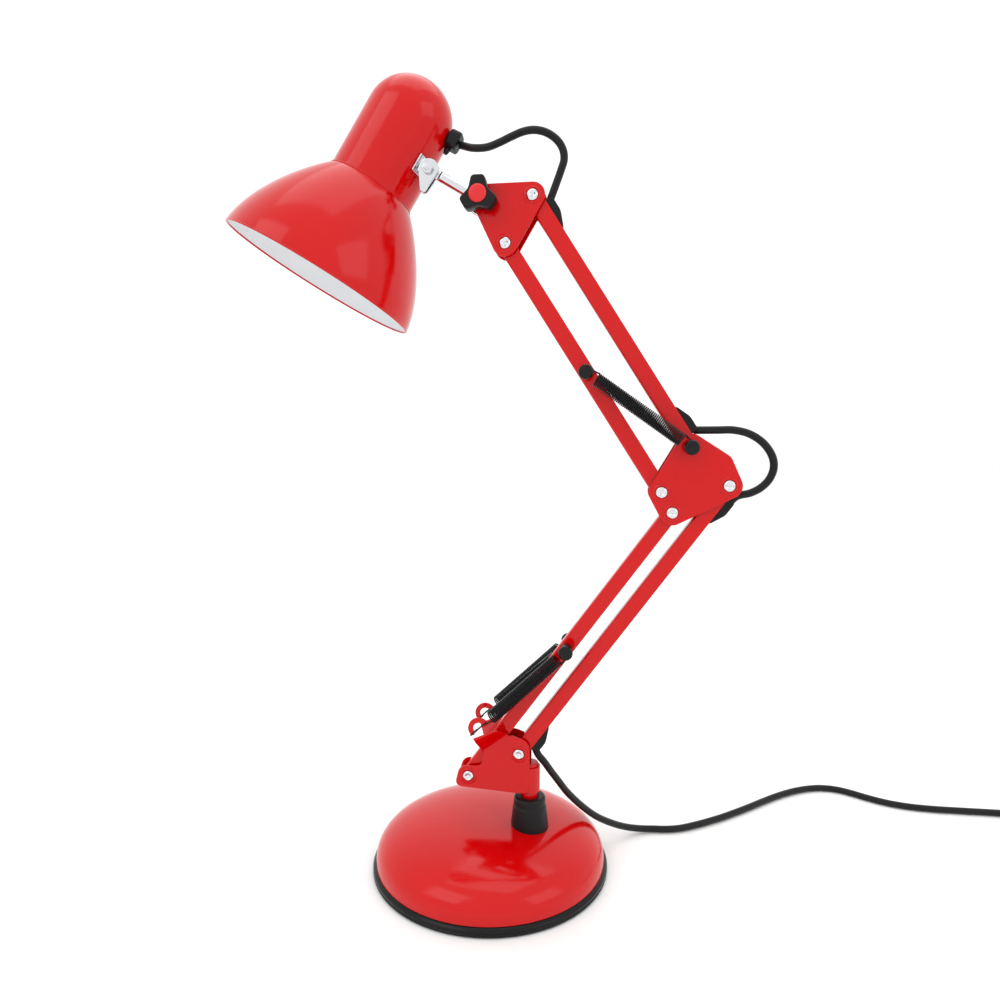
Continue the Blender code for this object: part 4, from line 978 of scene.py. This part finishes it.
@dataclass
class Head:
    """The bell-shaped shade with its cap, lug, holder and bulb.

    Its axis is tilted in the arm plane, then leans about the line through the lug's bolt square to it.
    """

    tilt: float = math.radians(29.7)
    lean: float = math.radians(-7.25)
    offset: float = 14.0
    mouth: tuple[float, float] = (-124.9, 445.2)
    mouth_radius: float = 73.1
    neck_radius: float = 33.0
    neck_height: float = 75.0
    cap_radius: float = 32.0
    cap_straight: float = 131.1
    wall: float = 0.9
    grommet_height: float = 135.0

    def leaned(self, offsets: Array) -> Array:
        """Leans offsets from the lug's bolt: along + rest cos a + (across x rest) sin a.

        Args:
            offsets: Array of (..., 3).

        Returns:
            The leaned offsets.
        """
        across = np.array([math.cos(self.tilt), 0.0, -math.sin(self.tilt)])
        along = (offsets @ across)[..., None] * across
        rest = offsets - along
        return along + rest * math.cos(self.lean) + np.cross(across, rest) * math.sin(self.lean)

    def point(self, radial: Array | float, height: Array | float, depth: Array | float = 0.0) -> Array:
        """Gives points in the head's own plane, or behind it by a depth.

        Args:
            radial: Distance to the right of the head's axis.
            height: Distance along the axis from the mouth.
            depth: Distance behind the plane.

        Returns:
            Array of (..., 3), as the three broadcast together.
        """
        sine, cosine = math.sin(self.tilt), math.cos(self.tilt)
        x = self.mouth[0] + radial * cosine + height * sine
        z = self.mouth[1] - radial * sine + height * cosine
        places = np.stack(np.broadcast_arrays(x, ARM_Y + self.offset + depth, z), -1)
        bolt = on_plane(LUG[None])[0]
        return bolt + self.leaned(places - bolt)

    def turned(self, name: str, profile: Array, finish: Finish, nodes: Sequence[str],
               around: int = 96) -> None:
        """Turns a piece about the head's axis."""
        axis = self.point(0, 1) - self.point(0, 0)
        Form(name).grid(revolve(profile, self.point(0, 0), axis, around)).make(finish, "head", nodes)

    def bell(self, inset: float, rows: int = 56) -> Array:
        """The bell's profile: radius = neck + (mouth - neck) (1 - t^1.6)^0.95, for t from neck to mouth."""
        t = 1 - np.linspace(0.0, 1.0, rows)
        flare = np.maximum(0, 1 - t ** 1.6) ** 0.95
        radius = self.neck_radius + (self.mouth_radius - self.neck_radius) * flare
        return np.stack([radius - inset, self.neck_height * t], -1)

    def build(self) -> None:
        """Builds the head's pieces."""
        skin = closed_loop(np.concatenate([self.bell(0.0), self.bell(self.wall / 2)[::-1]]))
        self.turned("shade_spun_bell", skin, RED_ENAMEL, ["shade"], 160)
        lining = closed_loop(np.concatenate([self.bell(self.wall / 2 + 0.02), self.bell(self.wall)[::-1]]))
        self.turned("shade_white_inside", lining, WHITE_ENAMEL, [], 160)
        lip = arc((self.mouth_radius - 0.45, 0.35), 0.75, 0.0, 360.0, 14)
        self.turned("shade_lip", lip, RED_ENAMEL, [], 160)
        angle = np.linspace(0.0, math.pi / 2, 32)
        straight = np.linspace(self.cap_straight, self.neck_height + 0.4, 20)[1:]
        walls = []
        for inset in (0.0, self.wall):
            radius = self.cap_radius - inset
            dome = np.stack([radius * np.sin(angle), self.cap_straight + radius * np.cos(angle)], -1)
            walls.append(np.concatenate([dome, np.stack([np.full(19, radius), straight], -1)]))
        shell = np.concatenate([walls[0], walls[1][::-1]])
        self.turned("cap_drawn_shell", shell, RED_ENAMEL, ["head_cap"], 120)
        neck = self.neck_height
        seam = fillet([(31.8, neck + 0.2), (32.9, neck - 0.2), (33.3, neck + 0.3), (33.0, neck + 1.0),
                       (31.9, neck + 1.2)], 0.3, 4, closed=True)
        self.turned("neck_bead", closed_loop(seam), RED_ENAMEL, [], 120)
        self.holder()
        self.grommet()
        self.lug()

    def holder(self) -> None:
        """Turns the lampholder, with its skirt ribs, and the bulb."""
        holder = fillet([(0.0, 136.0), (15.0, 136.0), (19.0, 131.0), (19.0, 122.0), (30.6, 122.0),
                         (30.6, 120.0), (19.0, 120.0), (19.0, 112.0), (18.3, 111.2), (19.0, 110.4),
                         (19.0, 106.0), (18.3, 105.2), (19.0, 104.4), (19.0, 96.0), (13.6, 96.0),
                         (13.6, 116.6), (0.0, 116.6)], 0.8, 4)
        self.turned("holder_moulding", holder, WHITE_PLASTIC, ["lampholder"], 64)
        angle = np.radians(np.linspace(34.0, 180.0, 40))
        globe = np.stack([27.5 * np.sin(angle), 54.0 + 27.5 * np.cos(angle)], -1)
        neck = smooth_path([(13.0, 113.0), (13.0, 104.0), (13.0, 95.0), (13.2, 88.0), globe[0]], 1.6)
        glass = np.concatenate([[(0.0, 115.8), (11.6, 115.8)], neck, globe[1:]])
        self.turned("bulb_opal_globe", glass, OPAL_GLASS, ["bulb"], 64)

    def grommet(self) -> None:
        """Makes the square-shouldered grommet, a superellipse in section, and the short tail below it."""
        axis = self.point(1, 0) - self.point(0, 0)
        up = self.point(0, 1) - self.point(0, 0)
        side = self.point(0, 0, 1) - self.point(0, 0)
        profile = fillet([(0.0, 9.6), (6.4, 9.6), (7.4, 8.4), (7.4, 1.0), (4.8, 0.8), (4.8, -3.0),
                          (0.0, -3.0)], 1.2, 6)
        angle = np.linspace(0.0, FULL_TURN, 65)
        square = (np.abs(np.cos(angle)) ** 4 + np.abs(np.sin(angle)) ** 4) ** -0.25
        blend = np.clip((profile[:, 1] - 0.6) / 2.0, 0.0, 1.0)[:, None]
        reach = profile[:, :1] * (1 + (0.93 * square[None] - 1) * blend)
        spoke = np.cos(angle)[:, None] * up + np.sin(angle)[:, None] * side
        origin = self.point(self.cap_radius - 0.6, self.grommet_height)
        body = origin + profile[:, 1, None, None] * axis + reach[..., None] * spoke[None]
        Form("grommet_block").grid(body).make(BLACK_PLASTIC, "head", ["flex_grommet"])
        tail = [self.point(self.cap_radius + 3.0, self.grommet_height - 6.0 - 1.3 * i) for i in range(5)]
        taper = np.array([2.2, 2.3, 2.2, 1.9, 1.3])
        Form("grommet_tail").grid(tube(np.array(tail), taper, 20)).make(BLACK_PLASTIC, "head")

    def lug(self) -> None:
        """Makes the chrome lug: two teardrop cheeks on a pad that follows the cap, with its bolt."""
        cheeks = Form("lug_cheeks")
        tail, back = np.array((-45.5, 504.6)), np.array((-47.8, 521.0))
        for side in (-1, 1):
            low, high = sorted((side * 1.85, side * 3.6))
            for end, width, narrow, step in ((tail, 7.2, 2.6, 0.0), (back, 5.4, 4.4, 0.12)):
                outline = capsule(LUG, end, width, narrow)
                cheeks.grid(plate(outline, (LUG + end) / 2, low + step, high - step, 0.5))
        angle = np.radians(np.linspace(-36.0, -14.0, 25))
        height = np.linspace(97.0, 110.0, 13)[:, None]
        inner, outer = (self.point(radius * np.cos(angle), height, radius * np.sin(angle))
                        for radius in (self.cap_radius + 0.1, self.cap_radius + 2.3))
        cheeks.sheet(outer, inner)
        cheeks.make(CHROME, "head", ["head_lug"], bevel=0.3)
        bolt = Form("lug_hex_bolt")
        turn = np.radians(np.arange(6) * 60)
        hexagon = LUG + 4.2 * np.stack([np.cos(turn), np.sin(turn)], -1)
        outline = resample(closed_loop(fillet(hexagon, 0.5, 4, closed=True)), 0.5)[:-1]
        for side in (-1, 1):
            low, high = sorted((side * 3.95, side * 6.75))
            bolt.grid(plate(outline, LUG, low, high, 0.5))
        shank = fillet([(0.0, 7.4), (1.8, 7.4), (2.1, 6.9), (2.1, -6.9), (1.8, -7.4), (0.0, -7.4)], 0.3, 3)
        bolt.grid(revolve(shank, on_plane(LUG[None])[0], (0, 1, 0), 32)).make(CHROME, "head", ["lug_bolt"])


# ---------------------------------------------------------------- flex


@dataclass
class Flexes:
    """Every stretch of the black flex, the switch on it and its plug."""

    clear: float = 8.4
    across: float = 8.2
    lead_y: float = 132.0
    coil_mean: float = 30.0
    coil_x: float = 533.0
    plug_z: float = 7.0
    plug_length: float = 38.0
    rest_z: float = 2.9
    turns: float = 4.5
    low_turns: float = 2.0
    climb_turns: float = 0.5
    channel_end: float = 16.0
    shoulder_end: int = 4
    landing: int = 10

    elbow_route: ClassVar = [
        (176.0, 289.0), (184.5, 291.2), (191.6, 295.2), (197.0, 301.4), (199.4, 309.4), (197.6, 317.8),
        (191.4, 326.2), (182.4, 332.0), (171.8, 334.6), (160.8, 334.6)]
    head_route: ClassVar = [
        (-12.8, 12.4, 535.6), (-2.6, 10.6, 534.8), (6.6, 8.0, 536.4), (16.9, 4.6, 539.2), (25.4, 2.0, 541.0),
        (33.4, 0.6, 541.0), (41.2, 0.0, 538.6), (47.9, 0.0, 534.0), (52.3, 0.0, 527.8), (53.6, 0.0, 520.6),
        (51.4, 0.0, 512.8)]
    lead_route: ClassVar = [
        (38.0, -8.4, 92.2), (42.2, -6.0, 86.0), (46.6, -1.8, 77.6), (51.8, 3.6, 67.8), (59.2, 11.0, 54.4),
        (69.8, 20.8, 39.4), (80.8, 30.4, 26.8), (92.2, 40.2, 17.0), (103.8, 49.8, 9.2), (115.6, 57.4, 4.4),
        (127.0, 61.2, 2.9), (138.6, 62.6, 2.8), (150.2, 66.0, 2.8), (162.2, 72.4, 2.8), (174.4, 80.2, 2.8),
        (187.2, 89.2, 2.8), (200.6, 99.8, 2.8), (214.4, 111.4, 2.8), (228.8, 124.0, 2.8), (243.2, 135.8, 2.8),
        (257.6, 145.9, 2.8), (271.6, 153.0, 2.8), (285.2, 156.8, 2.8), (298.2, 156.0, 2.8),
        (309.6, 151.2, 2.8), (321.6, 143.8, 2.8), (335.6, 136.8, 2.8), (352.0, 132.4, 2.8),
        (372.0, 130.8, 2.8), (396.0, 131.2, 2.8), (420.0, 131.9, 2.8)]

    def build(self, head: Head) -> None:
        """Makes the loops, the lead and what is on it."""
        start = link_point(A1, A0, self.clear, -self.across)
        end = link_point(C0, C1, self.clear, self.across)
        route = np.array([start, *self.elbow_route, end])
        self.loop("elbow_loop", on_plane(smooth_path(route, 1.2)), ["elbow_flex"],
                  ["lower_main", "elbow", "upper_main"])
        start = head.point(head.cap_radius - 0.6 + 10.8, head.grommet_height)
        end = on_plane(link_point(C1, C0, self.clear, -self.across)[None])[0]
        middle = [(x, ARM_Y + y, z) for x, y, z in self.head_route]
        self.loop("head_loop", smooth_path([start, *middle, end], 1.2), ["head_flex"],
                  ["head", "stem", "head_bracket", "upper_main"])
        self.lead()
        self.channel_runs()

    def loop(self, name: str, path: Array, nodes: Sequence[str], bodies: Sequence[str]) -> None:
        """Makes a loop of flex in as many lengths as it crosses joints.

        Args:
            name: The loop's name.
            path: Its whole line.
            nodes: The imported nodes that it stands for.
            bodies: The bodies along it, in order.
        """
        cuts = np.linspace(0, len(path) - 1, len(bodies)).astype(int)
        for index, (first, last) in enumerate(zip(cuts, cuts[1:])):
            part = path[first:last + 1]
            piece = Form(f"{name}_{index + 1}").grid(tube(part, FLEX_RADIUS, 24)).make(
                BLACK_VINYL, None, nodes if index == 0 else [])
            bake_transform(piece)

    def coil(self) -> Array:
        """Winds the spare lead: two turns in on the table, half a turn up, and two turns out on top.

        Angle falls steadily from a quarter turn. Radius falls, and later rises, by one flex width a turn, and
        dips while the lead climbs by one flex width, along 3s^2 - 2s^3.

        Returns:
            Points of (n, 3).
        """
        pitch = 2 * FLEX_RADIUS
        turn = np.linspace(0.0, self.turns, round(self.turns * 90) + 1)
        outer, inner = self.coil_mean + pitch, self.coil_mean - pitch
        climb = np.clip((turn - self.low_turns) / self.climb_turns, 0.0, 1.0)
        climbed = np.maximum(0.0, turn - self.low_turns - self.climb_turns)
        radius = np.where(turn < self.low_turns, outer - pitch * turn, inner + pitch * climbed)
        radius = radius - 1.2 * np.sin(math.pi * climb)
        angle = math.pi / 2 - FULL_TURN * turn
        x = self.coil_x + radius * np.cos(angle)
        y = self.lead_y - outer + radius * np.sin(angle)
        return np.stack([x, y, self.rest_z + pitch * (3 * climb ** 2 - 2 * climb ** 3)], -1)

    def lead(self) -> None:
        """Makes the mains lead: a short length over the shoulder, then one length to the plug."""
        start = link_point(A0, A1, self.clear, self.across)
        entry = [(start[0], ARM_Y, start[1])]
        whole = smooth_path([*entry, *self.lead_route, (437.7, self.lead_y, 2.8)], 1.6)
        cut = int(np.argmin(np.linalg.norm(whole - np.array(self.lead_route[self.shoulder_end]), axis=1)))
        stub = whole[:cut + 1]
        piece = Form("lead_over_shoulder").grid(tube(stub, FLEX_RADIUS, 24)).make(BLACK_VINYL, None)
        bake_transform(piece)
        coil = self.coil()
        tail_y = float(coil[-1][1])
        tail = smooth_path([coil[-1], (coil[-1][0] - 12.0, tail_y, 8.2), (coil[-1][0] - 28.0, tail_y, 7.5),
                            (coil[-1][0] - 43.7, tail_y, self.plug_z)], 1.6)
        through = np.linspace(whole[-1], coil[0], 60)
        path = resample(np.concatenate([whole[cut:], through[1:-1], coil, tail[1:]]), 1.6)
        piece = Form("mains_lead_run").grid(tube(path, FLEX_RADIUS, 16)).make(
            BLACK_VINYL, None, ["mains_lead", "lead_coil", "lead_to_coil", "lead_to_plug"])
        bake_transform(piece)
        plug = self.plug(float(coil[-1][0]) - 44.0, tail_y)
        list(self.switch())

    def channel_runs(self) -> None:
        """Lays the straight lengths in the links' channels."""
        for node, start, end, body in (("lower_link_flex", A0, A1, "lower_main"),
                                       ("upper_link_flex", C0, C1, "upper_main")):
            length = float(np.linalg.norm(end - start))
            stations = np.linspace(self.channel_end, length - self.channel_end, 40)
            stops = link_point(start, end, stations[:, None], 0.6)
            Form(node.replace("link_flex", "channel_flex")).grid(tube(on_plane(stops), 2.4, 20)).make(
                BLACK_VINYL, body, [node])

    def switch(self) -> list[bpy.types.Object]:
        """Moulds the in-line switch as two shells with soft corners, and its rocker.

        Returns:
            The switch's pieces.
        """
        low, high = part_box("switch_base"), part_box("switch_cover")
        middle = (np.array(low[0]) + np.array(low[1])) / 2 / MM
        reach = (np.array(low[1]) - np.array(low[0])) / 2 / MM
        angle = np.linspace(0.0, FULL_TURN, 97)
        round_x = np.sign(np.cos(angle)) * np.abs(np.cos(angle)) ** 0.5
        round_y = np.sign(np.sin(angle)) * np.abs(np.sin(angle)) ** 0.5
        rim = np.stack([reach[0] * round_x, reach[1] * round_y], -1)
        top = high[1][2] / MM
        shells = (("switch_lower_shell", [(0.0, 0.2), (0.86, 0.2), (1.0, 1.6), (1.0, 6.9), (0.0, 6.9)],
                   "switch_base"),
                  ("switch_upper_shell", [(0.0, 7.1), (1.0, 7.1), (1.0, 11.0), (0.9, top - 1.4), (0.72, top),
                                          (0.42, top), (0.40, top - 3.6), (0.0, top - 3.6)], "switch_cover"))
        pieces = [frame["nodes"]["switch_rocker"]]
        for name, corners, node in shells:
            profile = fillet(corners, 0.9, 5)
            flat = middle[:2] + profile[:, :1, None] * rim[None]
            height = np.broadcast_to(profile[:, 1, None, None], (*flat.shape[:2], 1))
            pieces.append(Form(name).grid(np.concatenate([flat, height], -1)).make(
                BLACK_PLASTIC, "base", [node]))
        dress("switch_rocker", BLACK_GLOSS)
        return pieces

    def plug(self, back: float, y: float) -> bpy.types.Object:
        """Moulds the plug: a superellipse section that swells from the lead to the flat pin face.

        Args:
            back: Where the lead enters it.
            y: Its middle line.

        Returns:
            The plug's body.
        """
        share = np.concatenate([[0.0], np.linspace(0.0, 1.0, 40), [1.0]])
        swell = np.clip(share / 0.45, 0.0, 1.0)
        swell = 3 * swell ** 2 - 2 * swell ** 3
        width, height = (neck + (face - neck) * swell for neck, face in ((4.2, 13.0), (3.9, 6.7)))
        width[[0, -1]] = height[[0, -1]] = 0.0
        angle = np.linspace(0.0, FULL_TURN, 65)
        cosine, sine = np.cos(angle), np.sin(angle)
        across = np.sign(cosine) * np.abs(cosine) ** 0.6
        tall = np.sign(sine) * np.abs(sine) ** 0.7
        x = np.broadcast_to((back - self.plug_length * share)[:, None], (len(share), 65))
        body = np.stack([x, y + width[:, None] * across, self.plug_z + height[:, None] * tall], -1)
        piece = Form("plug_moulding").grid(body).make(BLACK_PLASTIC, "base", ["plug_body"], bevel=0.5)
        for pin in ("plug_pin_near", "plug_pin_far"):
            dress(pin, CHROME)
        return piece


# ---------------------------------------------------------------- studio


@dataclass(frozen=True)
class Softbox:
    """A soft rectangular light."""

    name: str
    place: tuple[float, float, float]
    aim: tuple[float, float, float]
    size: float
    power: float

    def build(self) -> None:
        """Hangs the light and turns it to its aim."""
        data = bpy.data.lights.new(self.name, "AREA")
        data.size = self.size
        data.energy = self.power
        lamp = bpy.data.objects.new(self.name, data)
        lamp.location = self.place
        lamp.rotation_euler = (Vector(self.aim) - Vector(self.place)).to_track_quat("-Z", "Y").to_euler()
        bpy.context.scene.collection.objects.link(lamp)


@dataclass
class Studio:
    """The camera, the pale floor and the soft lights."""

    camera_place: tuple[float, float, float] = (0.0891, -0.5469, 0.3375)
    camera_turn: tuple[float, float, float] = (84.354, 0.0, 8.478)
    lens: float = 27.0
    floor_size: float = 40.0
    fill: float = 1.12

    def camera(self) -> None:
        """Places the camera."""
        data = bpy.data.cameras.new("view_camera")
        data.lens = self.lens
        data.sensor_width = 36.0
        data.clip_start = 0.01
        item = bpy.data.objects.new("view_camera", data)
        item.location = self.camera_place
        item.rotation_euler = [math.radians(angle) for angle in self.camera_turn]
        bpy.context.scene.collection.objects.link(item)
        bpy.context.scene.camera = item

    def build(self) -> None:
        """Lays the floor and hangs the lights."""
        half = self.floor_size / 2
        mesh = bpy.data.meshes.new("floor")
        corners = [(-half, -half, 0), (half, -half, 0), (half, half, 0), (-half, half, 0)]
        mesh.from_pydata(corners, [], [(0, 1, 2, 3)])
        paper = bpy.data.materials.new("matt_white_paper")
        paper.use_nodes = True
        shader = paper.node_tree.nodes["Principled BSDF"]
        shader.inputs["Base Color"].default_value = linear("#f3f3f2")
        shader.inputs["Roughness"].default_value = 0.7
        mesh.materials.append(paper)
        floor = bpy.data.objects.new("floor", mesh)
        floor.location = (0.0, 0.0, -0.0002)
        bpy.context.scene.collection.objects.link(floor)
        bpy.context.scene.view_settings.view_transform = "Standard"
        world = bpy.data.worlds.new("studio_air")
        bpy.context.scene.world = world
        world.use_nodes = True
        sky = world.node_tree.nodes["Background"]
        sky.inputs["Strength"].default_value = self.fill
        sky.inputs["Color"].default_value = (1.0, 1.0, 1.0, 1.0)
        middle = (0.0, 0.0, 0.25)
        for light in (Softbox("key_softbox", (-1.3, -1.5, 1.9), middle, 1.5, 9.0),
                      Softbox("right_softbox", (1.8, -0.9, 1.2), middle, 1.2, 4.0),
                      Softbox("top_softbox", (0.1, 0.3, 2.2), middle, 1.8, 9.0)):
            light.build()


# ---------------------------------------------------------------- the lamp


def arms() -> None:
    """Builds the four links with their clips, plates, rivets, pegs and springs."""
    for arm, which, start, end, width in (("lower", "main", A0, A1, LOWER_WIDTH),
                                          ("lower", "second", B0, B1, LOWER_WIDTH),
                                          ("upper", "main", C0, C1, UPPER_WIDTH),
                                          ("upper", "second", D0, D1, UPPER_WIDTH)):
        ChannelLink(f"{arm}_channel_{which}", f"{arm}_link_{which}", f"{arm}_{which}", start, end,
                    width).build()
    for name, start, end, width, side in (("lower_bottom", A0, A1, LOWER_WIDTH, 1),
                                          ("lower_top", A1, A0, LOWER_WIDTH, -1),
                                          ("upper_bottom", C0, C1, UPPER_WIDTH, 1),
                                          ("upper_top", C1, C0, UPPER_WIDTH, -1)):
        body = name.split("_")[0] + "_main"
        FlexClip(f"flex_clip_{name}", f"clip_{name}", body, start, end, width, side).build()
    for name, body, centre in (("base_main", "swivel", A0), ("base_second", "swivel", B0),
                               ("elbow_main", "elbow", A1), ("elbow_lower", "elbow", B1),
                               ("elbow_upper", "elbow", D0), ("head_main", "head_bracket", C1),
                               ("head_second", "head_bracket", D1)):
        Rivet(f"tubular_rivet_{name}", f"rivet_{name}", body, centre).build()
    lower_peg, upper_peg = np.array((58.5, 176.6)), np.array((70.7, 374.2))
    Peg("peg_lower_arm", "lower_peg", "lower_second", lower_peg, 5.35, True).build()
    Peg("peg_upper_arm", "upper_peg", "upper_second", upper_peg, 5.35, False).build()
    Peg("peg_elbow", "elbow_peg", "elbow", C0, 8.05, False).build()
    hook = np.array(SwivelBracket().hook_centre)
    for name, side in (("front", -1), ("rear", 1)):
        Spring(f"coil_spring_lower_{name}", f"lower_spring_{name}", ("lower_second", "swivel"), lower_peg,
               hook, side, False).build()
    Spring("coil_spring_upper", "upper_spring", ("upper_second", "elbow"), upper_peg, C0, -1, True).build()
    PlatePair(("elbow_cheek_front", "elbow_cheek_rear"), ("elbow_plate_front", "elbow_plate_rear"), "elbow",
              ((*C0, 9.4), (163.6, 311.0, 8.0), (*A1, 8.9), (*B1, 8.9), (*D0, 8.9))).build()
    PlatePair(("head_cheek_front", "head_cheek_rear"), ("head_plate_front", "head_plate_rear"),
              "head_bracket", ((*C1, 8.8), (*D1, 9.0), (KNOB[0] + 1.5, KNOB[1] + 1.0, 8.6))).build()


def main() -> None:
    """Builds the lamp's looks in order."""
    logging.basicConfig(level=logging.INFO, format="%(message)s")
    studio = Studio()
    head = Head()
    studio.camera()
    Flexes().build(head)
    Base().build()
    SwivelBracket().build()
    arms()
    Knob().build()
    Stem().build()
    head.build()
    studio.build()


if __name__ == "__main__":
    main()
